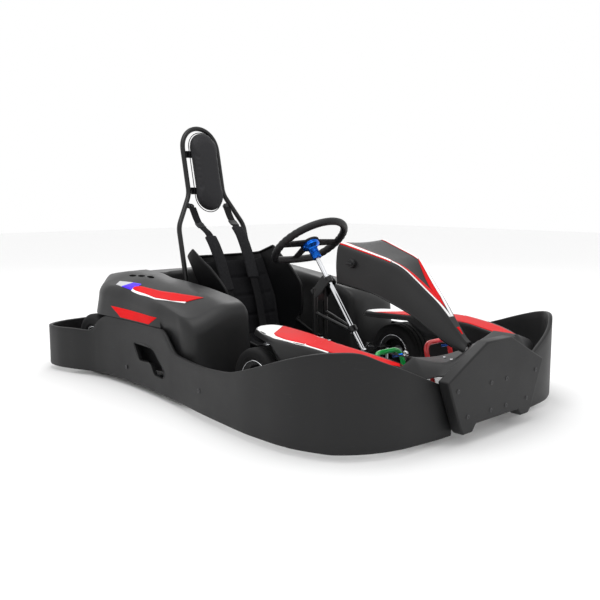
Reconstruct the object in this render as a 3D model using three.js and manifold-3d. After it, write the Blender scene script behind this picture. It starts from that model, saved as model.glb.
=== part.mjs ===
// Electric hire kart: a tube frame inside an all-round bumper, with side pods, seat, harness,
// head-rest hoop, steering, pedals and a chainless belt drive to a live rear axle.
// Millimetres. +X to the nose, +Y to the driver's left, +Z up, z = 0 on the ground.
// Inside the kart group x = 0 is the rear axle; the group is moved so that x = 0 is mid length.

import * as THREE from 'three';
import { mergeVertices } from 'three/addons/utils/BufferGeometryUtils.js';
import Module from 'manifold-3d';

const wasm = await Module();
wasm.setup();

const vec = (x, y, z) => new THREE.Vector3(x, y, z);
const lerp = THREE.MathUtils.lerp;

// ---- driving sizes ----
const gap = 0.3;                  // between pieces that touch
const runningGap = 0.4;           // radial, round shafts that turn
const wheelbase = 1055;
const rearOverhang = 320;         // rear axle to the back of the bumper
const noseReach = 780;            // front axle to the face of the front panel
const noseX = wheelbase + noseReach;
const midX = (noseX - rearOverhang) / 2;

// The outlines below are drawn for these lengths. stretched() carries a place along the drawn
// kart to the lengths above; stretchedRun() does it to the first number of every entry.
const drawnOverhang = 320;
const drawnWheelbase = 1055;
const drawnNoseX = 1835;
const stations = [[-drawnOverhang, -rearOverhang], [0, 0], [drawnWheelbase, wheelbase], [drawnNoseX, noseX]];
const stretched = (x) => along(stations, x);
const stretchedRun = (run) => run.map(([x, ...rest]) => [stretched(x), ...rest]);

const rearTyre = { radius: 139, halfWidth: 103, y: 483 };
const frontTyre = { radius: 127, halfWidth: 64, y: 405 };
const rimBarrel = 64;
const rimLip = 78;
const rimWall = 4;
const discHalf = 6;                // half the thickness of the wheel's centre disc
const wheelSides = 16;

const tubeRadius = 15;            // main frame tube
const trayBottom = 40;
const trayThickness = 3;
const trayTop = trayBottom + trayThickness;
const railZ = trayTop + gap + tubeRadius;
const railTop = railZ + tubeRadius;
const railRearY = 270;
const railFrontY = 185;
const railRearX = stretched(-125);
const railFrontX = stretched(1500);
const sideTube = 12;

const bumperBottom = 22;
const bumperWall = 16;
const axleRadius = 20;
const kingpinY = 300;
const kingpinRadius = 5;
const stubRadius = 8.5;
const steeringLockArm = 95;       // kingpin to tie-rod eye

const steeringAngle = THREE.MathUtils.degToRad(53);   // column above the horizontal
const wheelCentre = vec(stretched(873), 0, 626);
const shaftRadius = 10;
const shaftLength = 527;          // wheel plane to the lower end
const pitmanReach = 42;

const finish = (color, roughness, metalness = 0) =>
  new THREE.MeshStandardMaterial({ color, roughness, metalness });
const blackPlastic = finish(0x26272a, 0.55);
const blackSteel = finish(0x17181a, 0.4, 0.3);
const brightSteel = finish(0xb9bcc2, 0.28, 1);
const blackRubber = finish(0x1b1b1c, 0.85);
const blackFabric = finish(0x1d1e20, 0.9);
const blueAlloy = finish(0x1f6fe0, 0.3, 0.8);
const greenPaint = finish(0x12b04a, 0.4);
const redPaint = finish(0xf0323a, 0.4);
const greyAlloy = finish(0x8f9296, 0.45, 0.8);

const kart = new THREE.Group();
kart.position.x = -midX;

function add(name, geometry, material, parent = kart) {
  const mesh = new THREE.Mesh(geometry, material);
  mesh.name = name;
  parent.add(mesh);
  return mesh;
}

// ---- shared shape helpers ----
const smooth = (x, from, to) => THREE.MathUtils.smoothstep(x, from, to);

function solid(geometry) {
  const bare = geometry.clone();
  bare.deleteAttribute('normal');
  bare.deleteAttribute('uv');
  const merged = mergeVertices(bare, 1e-3);
  const corners = merged.index.array;
  const kept = [];
  for (let i = 0; i < corners.length; i += 3) {
    const [a, b, c] = [corners[i], corners[i + 1], corners[i + 2]];
    if (a !== b && b !== c && c !== a) kept.push(a, b, c);
  }
  const vertProperties = new Float32Array(merged.attributes.position.array);
  const triVerts = new Uint32Array(kept);
  return new wasm.Manifold(new wasm.Mesh({ numProp: 3, vertProperties, triVerts }));
}

function geometryOf(body) {
  const mesh = body.getMesh();
  const geometry = new THREE.BufferGeometry();
  geometry.setAttribute('position', new THREE.BufferAttribute(mesh.vertProperties, 3));
  geometry.setIndex(new THREE.BufferAttribute(mesh.triVerts, 1));
  return geometry;
}

const joined = (...parts) => parts.map(solid).reduce((sum, part) => sum.add(part));
const cut = (body, ...tools) => tools.map(solid).reduce((left, tool) => left.subtract(tool), body);

// The same shape on the other side of the kart's centre plane.
function mirrored(geometry) {
  const copy = geometry.index ? geometry.toNonIndexed() : geometry.clone();
  const position = copy.attributes.position;
  for (let i = 0; i < position.count; i += 3) {
    const [a, b, c] = [0, 1, 2].map((k) => new THREE.Vector3().fromBufferAttribute(position, i + k));
    position.setXYZ(i, a.x, -a.y, a.z);
    position.setXYZ(i + 1, c.x, -c.y, c.z);
    position.setXYZ(i + 2, b.x, -b.y, b.z);
  }
  copy.deleteAttribute('normal');
  return copy;
}

function addPair(name, rightGeometry, material) {
  add(`${name}_right`, rightGeometry, material);
  add(`${name}_left`, mirrored(rightGeometry), material);
}

function boxBetween(low, high) {
  const box = new THREE.BoxGeometry(high[0] - low[0], high[1] - low[1], high[2] - low[2]);
  box.translate((low[0] + high[0]) / 2, (low[1] + high[1]) / 2, (low[2] + high[2]) / 2);
  return box;
}

function rodBetween(from, to, radius, sides = 10) {
  const along = new THREE.Vector3().subVectors(to, from);
  const rod = new THREE.CylinderGeometry(radius, radius, along.length(), sides);
  rod.applyQuaternion(new THREE.Quaternion().setFromUnitVectors(vec(0, 1, 0), along.normalize()));
  rod.translate((from.x + to.x) / 2, (from.y + to.y) / 2, (from.z + to.z) / 2);
  return rod;
}

// A straight bar across the kart, from y = from to y = to.
const crossBar = (x, z, from, to, radius, sides = 12) =>
  rodBetween(vec(x, from, z), vec(x, to, z), radius, sides);

// Straight runs joined by bends.
function bentPath(points, bend) {
  const path = new THREE.CurvePath();
  let start = points[0];
  for (let i = 1; i < points.length - 1; i++) {
    const corner = points[i];
    const before = new THREE.Vector3().subVectors(points[i - 1], corner);
    const after = new THREE.Vector3().subVectors(points[i + 1], corner);
    const reach = Math.min(bend, before.length() * 0.48, after.length() * 0.48);
    const enter = corner.clone().addScaledVector(before.normalize(), reach);
    const leave = corner.clone().addScaledVector(after.normalize(), reach);
    path.add(new THREE.LineCurve3(start, enter));
    path.add(new THREE.QuadraticBezierCurve3(enter, corner, leave));
    start = leave;
  }
  path.add(new THREE.LineCurve3(start, points[points.length - 1]));
  return path;
}

function tubeAlong(path, radius, steps, halfSides = 5) {
  const ring = new THREE.Shape().absarc(0, 0, radius, 0, Math.PI * 2, false);
  return new THREE.ExtrudeGeometry(ring, { extrudePath: path, steps, curveSegments: halfSides });
}

// A slab cut from an outline of [a, b] pairs drawn in a plane, thick along the third axis.
function slab(outline, thickness) {
  const shape = new THREE.Shape(outline.map(([a, b]) => new THREE.Vector2(a, b)));
  return new THREE.ExtrudeGeometry(shape, { depth: thickness, bevelEnabled: false, steps: 1 });
}

// A sheet: a box with one face on point(u, v), u and v from 0 to 1. The normal is the u way
// crossed with the v way; a positive thickness is laid along it and a negative one behind it.
function sheet(point, thickness, segmentsU, segmentsV) {
  const box = new THREE.BoxGeometry(1, 1, 1, segmentsU, segmentsV, 1);
  const position = box.attributes.position;
  const step = 1e-3;
  const clamp = (t) => THREE.MathUtils.clamp(t, 0, 1);
  for (let i = 0; i < position.count; i++) {
    const u = position.getX(i) + 0.5;
    const v = position.getY(i) + 0.5;
    const side = position.getZ(i) + 0.5;
    const alongU = point(clamp(u + step), v).sub(point(clamp(u - step), v));
    const alongV = point(u, clamp(v + step)).sub(point(u, clamp(v - step)));
    const normal = alongU.cross(alongV).normalize();
    const depth = typeof thickness === 'function' ? thickness(u, v) : thickness;
    const place = point(u, v).addScaledVector(normal, depth > 0 ? side * depth : (1 - side) * depth);
    position.setXYZ(i, place.x, place.y, place.z);
  }
  return box;
}

// A value read along a list of [position, value] pairs.
function along(pairs, x) {
  let i = 0;
  while (i < pairs.length - 2 && x > pairs[i + 1][0]) i++;
  const [x0, a] = pairs[i];
  const [x1, b] = pairs[i + 1];
  return lerp(a, b, THREE.MathUtils.clamp((x - x0) / (x1 - x0), 0, 1));
}

// A hollow moulding, open below: an outline seen from above (anticlockwise), a top height at
// every place, a rounded shoulder and walls down to a rim. Its mesh is a lathe shape whose
// rings are laid on the outline.
function moulding({ outline, centre, top, bottom, shoulder, wall, segments }) {
  const edge = new THREE.CatmullRomCurve3(outline.map(([x, y]) => vec(x, y, 0)), true, 'centripetal');
  const outer = [
    { inset: 0, drop: 1, down: 1 },
    { inset: 0, drop: 1, down: 0 },
    { inset: 0.08, drop: 0.55, down: 0 },
    { inset: 0.35, drop: 0.18, down: 0 },
    { inset: 0.95, drop: 0, down: 0 },
  ];
  const rings = [{ pole: true, inside: true }];
  for (const ring of [...outer].reverse()) rings.push({ ...ring, inside: true });
  for (const ring of outer) rings.push(ring);
  rings.push({ pole: true });
  const profile = rings.map((ring, j) => new THREE.Vector2(ring.pole ? 0 : 1, j));
  const lathe = new THREE.LatheGeometry(profile, segments);
  const position = lathe.attributes.position;
  for (let i = 0; i <= segments; i++) {
    const point = edge.getPointAt((i % segments) / segments);
    const reach = Math.hypot(point.x - centre[0], point.y - centre[1]);
    rings.forEach((ring, j) => {
      const inward = ring.pole ? reach : ring.inset * shoulder + (ring.inside ? wall : 0);
      const scale = 1 - inward / reach;
      const x = centre[0] + (point.x - centre[0]) * scale;
      const y = centre[1] + (point.y - centre[1]) * scale;
      const skin = top(x, y) - (ring.pole ? 0 : ring.drop * shoulder) - (ring.inside ? wall : 0);
      const z = ring.down ? Math.min(bottom(point.x, point.y), skin - wall) : skin;
      position.setXYZ(i * rings.length + j, x, y, z);
    });
  }
  return lathe;
}

// ---- frame tubes ----
const railRun = [
  [railRearX, railRearY],
  [stretched(610), railRearY],
  [stretched(850), railFrontY],
  [railFrontX, railFrontY],
];
const railPath = bentPath(railRun.map(([x, y]) => vec(x, -y, railZ)), 110);
addPair('frame_rail', tubeAlong(railPath, tubeRadius, 20, 4), blackSteel);

const railInnerRear = railRearY - tubeRadius - gap;
const rearBarX = stretched(-95);
const seatBarX = stretched(330);
add('crossmember_rear', crossBar(rearBarX, railZ, -railInnerRear, railInnerRear, tubeRadius), blackSteel);
add('crossmember_seat', crossBar(seatBarX, railZ, -railInnerRear, railInnerRear, tubeRadius), blackSteel);

const sideFrameY = 568;
const sideFrameRear = stretched(255);
const sideFrameFront = stretched(560);
const sideFrameRun = [
  [sideFrameRear, railRearY + tubeRadius + gap],
  [sideFrameRear, sideFrameY],
  [sideFrameFront, sideFrameY],
  [sideFrameFront, railRearY + tubeRadius + gap],
];
const sideFramePath = bentPath(sideFrameRun.map(([x, y]) => vec(x, -y, railZ)), 90);
addPair('side_frame', tubeAlong(sideFramePath, sideTube, 16, 3), blackSteel);

const noseTubeX = stretched(1762);
const noseTubeRun = [
  vec(railFrontX + gap, -railFrontY, railZ),
  vec(noseTubeX, -railFrontY, railZ),
  vec(noseTubeX, railFrontY, railZ),
  vec(railFrontX + gap, railFrontY, railZ),
];
add('nose_tube', tubeAlong(bentPath(noseTubeRun, 100), sideTube, 24, 3), blackSteel);

// Front beam: a tube across both rails with a forked bracket and kingpin at each end.
const beamZ = railTop + gap + tubeRadius;
const forkHalfHeight = 36;
const forkPlate = 6;
const forkBackY = kingpinY - 38;
const frontAxleZ = frontTyre.radius;
const forkEndY = kingpinY + 14;
function forkParts(side) {
  const near = (y) => side * y;
  const span = (a, b) => [Math.min(near(a), near(b)), Math.max(near(a), near(b))];
  const [backLow, backHigh] = span(forkBackY - 8, forkBackY);
  const [armLow, armHigh] = span(forkBackY - 4, forkEndY);
  const topZ = frontAxleZ + forkHalfHeight;
  const lowZ = frontAxleZ - forkHalfHeight;
  const halfX = 18;
  const x0 = wheelbase - halfX;
  const x1 = wheelbase + halfX;
  return [
    boxBetween([x0, backLow, beamZ - tubeRadius + 1], [x1, backHigh, topZ]),
    boxBetween([x0, armLow, topZ - forkPlate], [x1, armHigh, topZ]),
    boxBetween([x0, armLow, lowZ], [x1, armHigh, lowZ + forkPlate]),
    rodBetween(vec(wheelbase, near(kingpinY), lowZ - 6), vec(wheelbase, near(kingpinY), topZ + 6), kingpinRadius),
  ];
}
const beamTube = crossBar(wheelbase, beamZ, -forkBackY, forkBackY, tubeRadius);
add('front_beam', geometryOf(joined(beamTube, ...forkParts(-1), ...forkParts(1))), blackSteel);

// ---- floor tray with the pedal lugs and pins ----
const pedalX = stretched(1500);
const pedalHalfWidth = 78;
const pedalY = 148;
const pinRadius = 5;
const sleeveRadius = 11;
const pedalClear = 1.7;           // under the pedal sleeves, above the rails
const pedalZ = railTop + sleeveRadius + pedalClear;
const lugThickness = 5;
const trayOutline = stretchedRun([
  [480, -262], [640, -262], [840, -205], [1390, -205], [1420, -256], [1540, -256], [1600, -190],
  [1600, 190], [1540, 256], [1420, 256], [1390, 205], [840, 205], [640, 262], [480, 262],
]);
const trayPlate = slab(trayOutline, trayThickness);
trayPlate.translate(0, 0, trayBottom);
function pedalMount(y) {
  const parts = [crossBar(pedalX, pedalZ, y - pedalHalfWidth - 16, y + pedalHalfWidth + 16, pinRadius, 8)];
  for (const side of [-1, 1]) {
    const inner = y + side * (pedalHalfWidth + 12 + gap);
    const outer = inner + side * lugThickness;
    const low = [pedalX - 14, Math.min(inner, outer), trayTop - 1];
    const high = [pedalX + 14, Math.max(inner, outer), pedalZ + 12];
    parts.push(boxBetween(low, high));
  }
  return parts;
}
add('floor_tray', geometryOf(joined(trayPlate, ...pedalMount(-pedalY), ...pedalMount(pedalY))), greyAlloy);

// ---- bumper ----
// Outer face seen from above and the height of its top edge: [x, y, top].
const bumperRun = stretchedRun([
  [-320, 420, 214], [-319, 480, 214], [-301, 592, 214], [-243, 684, 214], [-143, 698, 215],
  [-40, 671, 217], [68, 628, 220], [112, 617, 262], [165, 609, 290], [300, 604, 294],
  [450, 608, 294], [590, 618, 293], [667, 626, 290], [720, 632, 250], [765, 637, 216],
  [870, 653, 206], [980, 670, 204], [1090, 683, 209], [1190, 694, 220], [1290, 703, 247],
  [1380, 703, 276], [1450, 701, 300], [1524, 690, 323], [1600, 664, 343], [1650, 640, 350],
  [1706, 576, 347], [1742, 507, 317], [1763, 437, 288], [1779, 300, 228], [1782, 266, 214],
  [1783, 200, 204],
]);
const bumperEdge = new THREE.CatmullRomCurve3(bumperRun.map(([x, y, z]) => vec(x, -y, z)), false, 'centripetal');
const bumperSegments = 46;
function bumperFace(u, v) {
  const top = bumperEdge.getPoint(u);
  return vec(top.x, top.y, lerp(bumperBottom, top.z, v));
}
const bumperWallRight = sheet(bumperFace, -bumperWall, bumperSegments, 2);
const windowOutline = stretchedRun([[414, 203], [573, 201], [624, 167], [685, 115], [662, 90], [591, 94], [554, 134], [459, 136]]);
const windowTool = slab(windowOutline, 160);
windowTool.rotateX(Math.PI / 2);
windowTool.translate(0, -540, 0);
add('bumper_side_right', geometryOf(cut(solid(bumperWallRight), windowTool)), blackPlastic);
add('bumper_side_left', mirrored(geometryOf(cut(solid(bumperWallRight), windowTool))), blackPlastic);

const rearBumperHalf = bumperRun[0][1] - 1;
const rearBumperTop = bumperRun[0][2];
const rearBumper = boxBetween(
  [-rearOverhang, -rearBumperHalf, bumperBottom],
  [-rearOverhang + bumperWall, rearBumperHalf, rearBumperTop],
);
add('bumper_rear', rearBumper, blackPlastic);

const panelThickness = 46;
const panelHalf = [[75, 338], [293, 229], [216, 52], [202, 36], [150, 36], [128, 62]];
const panelOutline = [
  ...panelHalf,
  ...panelHalf.map(([y, z]) => [-y, z]).reverse(),
];
const panelSlab = slab(panelOutline.reverse(), panelThickness);
const toFront = new THREE.Matrix4().makeBasis(vec(0, 1, 0), vec(0, 0, 1), vec(1, 0, 0));
panelSlab.applyMatrix4(toFront);
panelSlab.translate(noseX - panelThickness, 0, 0);
add('bumper_front_panel', panelSlab, blackPlastic);

// ---- side pods ----
const podWall = 4;
const podOutline = stretchedRun([
  [112, -600], [300, -604], [520, -600], [660, -600], [750, -608], [800, -610], [842, -592], [860, -545],
  [862, -450], [862, -360], [846, -310], [600, -305], [300, -305], [0, -305], [-200, -305], [-236, -330],
  [-170, -410], [-60, -500], [40, -575],
]);
const podCrown = stretchedRun([[-240, 425], [-60, 455], [80, 478], [260, 476], [580, 434], [760, 404], [860, 380]]);
const podTop = (x, y) => along(podCrown, x) - 26 * smooth(-y, 420, 600);
const podTyreClear = rearTyre.radius * 2 + 24;
const podRestEnd = stretched(640);
const podRestZ = Math.max(...bumperRun.filter(([x]) => x < podRestEnd).map((p) => p[2])) + 6;
const podTyreEnd = rearTyre.radius + 50;      // the rim stays over the tyre up to here
const podLowRim = 90;
const podBottom = (x, y) => {
  if (x < podTyreEnd) return podTyreClear;
  return y < -560 && x < podRestEnd ? podRestZ : podLowRim;
};
const podShape = {
  outline: podOutline, centre: [stretched(340), -455], top: podTop, bottom: podBottom,
  shoulder: 46, wall: podWall, segments: 40,
};
addPair('side_pod', moulding(podShape), blackPlastic);

const deckHalf = 288;
const deckOutline = stretchedRun([
  [-236, -deckHalf + 30], [-206, -deckHalf], [0, -deckHalf], [150, -deckHalf + 3], [86, -190], [34, -80],
  [20, 0], [34, 80], [86, 190], [150, deckHalf - 3], [0, deckHalf], [-206, deckHalf], [-236, deckHalf - 30],
]);
const deckCrown = stretchedRun([[-240, 410], [-120, 450], [150, 466]]);
add('rear_deck', moulding({
  outline: deckOutline, centre: [stretched(-110), 0],
  top: (x) => along(deckCrown, x),
  bottom: () => 316, shoulder: 22, wall: podWall, segments: 26,
}), blackPlastic);

// ---- drive batteries and motor ----
addPair('battery', boxBetween([stretched(270), -535, 82], [stretched(640), -335, 318]), greyAlloy);
const motorX = 190;
const motorZ = 168;
const motorRadius = 72;
const driveY = 150;
const sprocketRadius = 80;
const pinionRadius = 28;
const rearAxleZ = rearTyre.radius;
const motorCan = crossBar(motorX, motorZ, -95, 118, motorRadius, 18);
const motorShaft = crossBar(motorX, motorZ, 117, 168, 9, 10);
add('motor', geometryOf(joined(motorCan, motorShaft)), greyAlloy);

// Turned ring about an axle across the kart; the profile is [radius, y] pairs.
function turned(profile, x, y, z, sides) {
  const points = profile.map(([r, t]) => new THREE.Vector2(r, t));
  points.push(points[0].clone());
  const ring = new THREE.LatheGeometry(points, sides);
  ring.translate(x, y, z);
  return ring;
}

const hubbedDisc = (bore, radius, thickness, hubRadius, hubHalf) => [
  [bore, -hubHalf], [hubRadius, -hubHalf], [hubRadius, -thickness / 2], [radius, -thickness / 2],
  [radius, thickness / 2], [hubRadius, thickness / 2], [hubRadius, hubHalf], [bore, hubHalf],
];
const axleBore = axleRadius + 0.9;
const axleHalfLength = rearTyre.y + 38;
add('rear_axle', turned(
  [[axleRadius - 5, -axleHalfLength], [axleRadius, -axleHalfLength], [axleRadius, axleHalfLength], [axleRadius - 5, axleHalfLength]],
  0, 0, rearAxleZ, 16,
), brightSteel);
add('axle_sprocket', turned(hubbedDisc(axleBore, sprocketRadius, 9, 32, 14), 0, driveY, rearAxleZ, 18), greyAlloy);
const discRadius = 88;
const discThickness = 5;
const discY = -150;
add('brake_disc', turned(hubbedDisc(axleBore, discRadius, discThickness, 32, 14), 0, discY, rearAxleZ, 18), brightSteel);
add('motor_pinion', turned(hubbedDisc(9.7, pinionRadius, 9, 16, 10), motorX, driveY, motorZ, 12), greyAlloy);

// Flat belt round the axle sprocket and the motor pinion.
const beltSteps = 14;             // flats round each wheel
function beltOutline(extra) {
  const span = Math.hypot(motorX, motorZ - rearAxleZ);
  const tilt = Math.atan2(motorZ - rearAxleZ, motorX);
  const lean = Math.acos((sprocketRadius - pinionRadius) / span);
  const arc = (cx, cz, radius, from, to) => Array.from({ length: beltSteps + 1 }, (_, i) => {
    const angle = lerp(from, to, i / beltSteps);
    return [cx + (radius + extra) * Math.cos(angle), cz + (radius + extra) * Math.sin(angle)];
  });
  return [
    ...arc(motorX, motorZ, pinionRadius, tilt - lean, tilt + lean),
    ...arc(0, rearAxleZ, sprocketRadius, tilt + lean, tilt + Math.PI * 2 - lean),
  ];
}
const beltGap = 2.2;              // room for the belt to leave the flat-sided wheels
const beltThickness = 4;
const beltShape = new THREE.Shape(beltOutline(beltGap + beltThickness).map(([x, z]) => new THREE.Vector2(x, z)));
beltShape.holes.push(new THREE.Path(beltOutline(beltGap).map(([x, z]) => new THREE.Vector2(x, z))));
const belt = new THREE.ExtrudeGeometry(beltShape, { depth: 16, bevelEnabled: false, steps: 1 });
belt.rotateX(Math.PI / 2);
belt.translate(0, driveY + 8, 0);
add('drive_belt', belt, blackRubber);

const bearingHalf = 12;
function axleBearing(y) {
  const foot = boxBetween([-34, y - bearingHalf, railTop + gap], [34, y + bearingHalf, rearAxleZ]);
  const ring = crossBar(0, rearAxleZ, y - bearingHalf, y + bearingHalf, 42, 20);
  const bore = crossBar(0, rearAxleZ, y - bearingHalf - 1, y + bearingHalf + 1, axleRadius + runningGap + 0.4, 20);
  return geometryOf(cut(joined(foot, ring), bore));
}
addPair('axle_bearing', axleBearing(-railRearY), blackSteel);

const caliperBlock = boxBetween([-124, discY - 24, 104], [-58, discY + 24, 172]);
const caliperFoot = boxBetween([-112, discY - 24, railTop + gap], [-94, discY - 8, 110]);
const discSlot = crossBar(0, rearAxleZ, discY - discThickness / 2 - 1, discY + discThickness / 2 + 1, discRadius + 2, 24);
add('brake_caliper', geometryOf(cut(joined(caliperBlock, caliperFoot), discSlot)), redPaint);

// ---- wheels ----
function rimProfile(bore, halfWidth) {
  const inner = rimBarrel - rimWall;
  return [
    [bore, -discHalf], [inner, -discHalf], [inner, -halfWidth + 9], [rimLip, -halfWidth],
    [rimBarrel, -halfWidth + 13], [rimBarrel, halfWidth - 13], [rimLip, halfWidth],
    [inner, halfWidth - 9], [inner, discHalf], [bore, discHalf],
  ];
}
function tyreProfile(radius, halfWidth, rimHalf) {
  const seat = rimBarrel + gap;
  return [
    [seat, -rimHalf + 15], [rimLip + 3, -rimHalf + 3], [radius - 18, -halfWidth], [radius, -halfWidth + 18],
    [radius, halfWidth - 18], [radius - 18, halfWidth], [rimLip + 3, rimHalf - 3], [seat, rimHalf - 15],
  ];
}
const sides = [['right', -1], ['left', 1]];
for (const [name, side] of sides) {
  const rearRimHalf = rearTyre.halfWidth - 6;
  const frontRimHalf = frontTyre.halfWidth - 4;
  const rearPlace = [0, side * rearTyre.y, rearAxleZ, wheelSides];
  const frontPlace = [wheelbase, side * frontTyre.y, frontAxleZ, wheelSides];
  add(`rear_rim_${name}`, turned(rimProfile(axleBore, rearRimHalf), ...rearPlace), greyAlloy);
  add(`rear_tyre_${name}`, turned(tyreProfile(rearTyre.radius, rearTyre.halfWidth, rearRimHalf), ...rearPlace), blackRubber);
  const stubBore = stubRadius + runningGap + 0.4;
  add(`front_rim_${name}`, turned(rimProfile(stubBore, frontRimHalf), ...frontPlace), greyAlloy);
  add(`front_tyre_${name}`, turned(tyreProfile(frontTyre.radius, frontTyre.halfWidth, frontRimHalf), ...frontPlace), blackRubber);
}

// ---- stub axles and tie rods ----
const barrelHalf = forkHalfHeight - forkPlate - gap;
const eyeX = wheelbase - steeringLockArm;     // the arms point back from the kingpins
const eyeY = kingpinY - 14;
const armZ = frontAxleZ + 18;
const armThickness = 6;
const kingpinBore = rodBetween(
  vec(wheelbase, -kingpinY, frontAxleZ - 60), vec(wheelbase, -kingpinY, frontAxleZ + 60), kingpinRadius + runningGap,
);
const stubBarrel = rodBetween(
  vec(wheelbase, -kingpinY, frontAxleZ - barrelHalf), vec(wheelbase, -kingpinY, frontAxleZ + barrelHalf), 13, 12,
);
const stubShaft = crossBar(wheelbase, frontAxleZ, -kingpinY - 8, -frontTyre.y - 34, stubRadius);
const steeringArm = boxBetween([eyeX - 10, -kingpinY - 3, armZ], [wheelbase - 6, -eyeY + 9, armZ + armThickness]);
const stubGeometry = geometryOf(cut(joined(stubBarrel, stubShaft, steeringArm), kingpinBore));
addPair('stub_axle', stubGeometry, brightSteel);

const rodZ = armZ + armThickness + gap;
const pitmanHalfWidth = 8;
const rodInnerY = pitmanHalfWidth + 10;     // the open pivot: the rod stops short of the pitman arm
const shaftDown = vec(Math.cos(steeringAngle), 0, -Math.sin(steeringAngle));
const shaftEnd = wheelCentre.clone().addScaledVector(shaftDown, shaftLength);
const pitmanDown = vec(-Math.sin(steeringAngle), 0, -Math.cos(steeringAngle));
const pitmanPoint = shaftEnd.clone().addScaledVector(pitmanDown, pitmanReach);
const rodEye = rodBetween(vec(eyeX, -eyeY, rodZ), vec(eyeX, -eyeY, rodZ + 14), 10, 12);
const rodBar = rodBetween(vec(eyeX, -eyeY, rodZ + 7), vec(pitmanPoint.x, -rodInnerY, pitmanPoint.z), 5.5, 8);
addPair('tie_rod', geometryOf(joined(rodEye, rodBar)), brightSteel);

// ---- steering column, in its own tilted frame: local z runs up the column to the driver ----
const column = new THREE.Group();
column.position.copy(wheelCentre);
column.rotation.y = -(Math.PI / 2 - steeringAngle);
kart.add(column);

const rimRadius = 163;
const gripRadius = 16;
const flatBottom = 118;
const grip = new THREE.TorusGeometry(rimRadius, gripRadius, 6, 30);
const gripPoints = grip.attributes.position;
for (let i = 0; i < gripPoints.count; i++) {
  const x = gripPoints.getX(i);
  const y = gripPoints.getY(i);
  const distance = Math.hypot(x, y);
  const centreX = (x / distance) * rimRadius;
  if (centreX < -flatBottom) gripPoints.setX(i, x - (centreX + flatBottom) * 0.82);
}
const spokeThickness = 5;
const spokeOutlines = [
  [[-20, 0], [20, 0], [15, rimRadius - 4], [-19, rimRadius - 4]],
  [[20, 0], [-20, 0], [-19, -rimRadius + 4], [15, -rimRadius + 4]],
  [[0, -20], [0, 20], [-flatBottom - 4, 15], [-flatBottom - 4, -15]],
];
const spokes = spokeOutlines.map((outline) => slab(outline, spokeThickness));
const hubPlate = new THREE.CylinderGeometry(34, 34, spokeThickness, 14);
hubPlate.rotateX(Math.PI / 2);
hubPlate.translate(0, 0, spokeThickness / 2);
add('steering_wheel', geometryOf(joined(grip, ...spokes, hubPlate)), blackRubber, column);

const hubLength = 78;
const hubProfile = [
  [0, -hubLength], [18, -hubLength], [20, -hubLength + 3], [20, -26], [36, -20], [38, -17], [38, -gap], [0, -gap],
];
const hubBoss = new THREE.LatheGeometry(hubProfile.map(([r, z]) => new THREE.Vector2(r, z)), 14);
hubBoss.rotateX(Math.PI / 2);
add('steering_hub', hubBoss, blueAlloy, column);

const shaftRod = rodBetween(vec(0, 0, -hubLength - gap), vec(0, 0, -shaftLength), shaftRadius, 12);
const pitman = boxBetween([-pitmanReach - 10, -pitmanHalfWidth, -shaftLength - 6], [10, pitmanHalfWidth, -shaftLength + 1]);
add('steering_shaft', geometryOf(joined(shaftRod, pitman)), brightSteel, column);

// Column support: two posts on the tray, bracket plates and two bearing rings round the shaft.
const postX = stretched(938);
const postY = 30;
const postTop = 440;
const shaftAt = (distance) => wheelCentre.clone().addScaledVector(shaftDown, distance);
const upperRing = shaftAt(190);
const lowerRing = shaftAt(430);
const ringRadius = 19;
const ringLength = 26;
const bearingRing = (at) => rodBetween(
  at.clone().addScaledVector(shaftDown, -ringLength / 2), at.clone().addScaledVector(shaftDown, ringLength / 2), ringRadius, 14,
);
const supportParts = [
  boxBetween([postX - 30, -postY - 16, trayTop + gap], [postX + 30, postY + 16, trayTop + 5]),
  bearingRing(upperRing),
  bearingRing(lowerRing),
];
for (const side of [-1, 1]) {
  const foot = vec(postX, side * postY, trayTop + 2);
  const head = vec(postX, side * postY, postTop);
  supportParts.push(rodBetween(foot, head, 11));
  supportParts.push(rodBetween(vec(postX, side * postY, postTop - 4), vec(upperRing.x - 8, side * 13, upperRing.z - 4), 7, 8));
  supportParts.push(rodBetween(vec(postX, side * postY, 335), vec(lowerRing.x - 4, side * 12, lowerRing.z - 2), 7, 8));
}
supportParts.push(boxBetween([postX - 4, -postY, postTop - 46], [postX + 4, postY, postTop - 6]));
const shaftBore = rodBetween(shaftAt(100), shaftAt(shaftLength), shaftRadius + runningGap + 0.4, 16);
add('column_support', geometryOf(cut(joined(...supportParts), shaftBore)), blackSteel);

// ---- pedals: a green throttle loop on the right and a red brake loop on the left ----
const pedalTube = 9.5;
const pedalTopX = pedalX - 52;
const pedalTopZ = pedalZ + 172;
function pedal(y) {
  const left = y - pedalHalfWidth + 4;
  const right = y + pedalHalfWidth - 4;
  const run = [
    vec(pedalX, left, pedalZ), vec(pedalTopX, left, pedalTopZ),
    vec(pedalTopX, right, pedalTopZ), vec(pedalX, right, pedalZ),
  ];
  const loop = tubeAlong(bentPath(run, 42), pedalTube, 20, 3);
  const sleeve = crossBar(pedalX, pedalZ, y - pedalHalfWidth - 11, y + pedalHalfWidth + 11, sleeveRadius, 12);
  const bore = crossBar(pedalX, pedalZ, y - pedalHalfWidth - 20, y + pedalHalfWidth + 20, pinRadius + runningGap, 12);
  return geometryOf(cut(joined(loop, sleeve), bore));
}
add('throttle_pedal', pedal(-pedalY), greenPaint);
add('brake_pedal', pedal(pedalY), redPaint);

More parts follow.
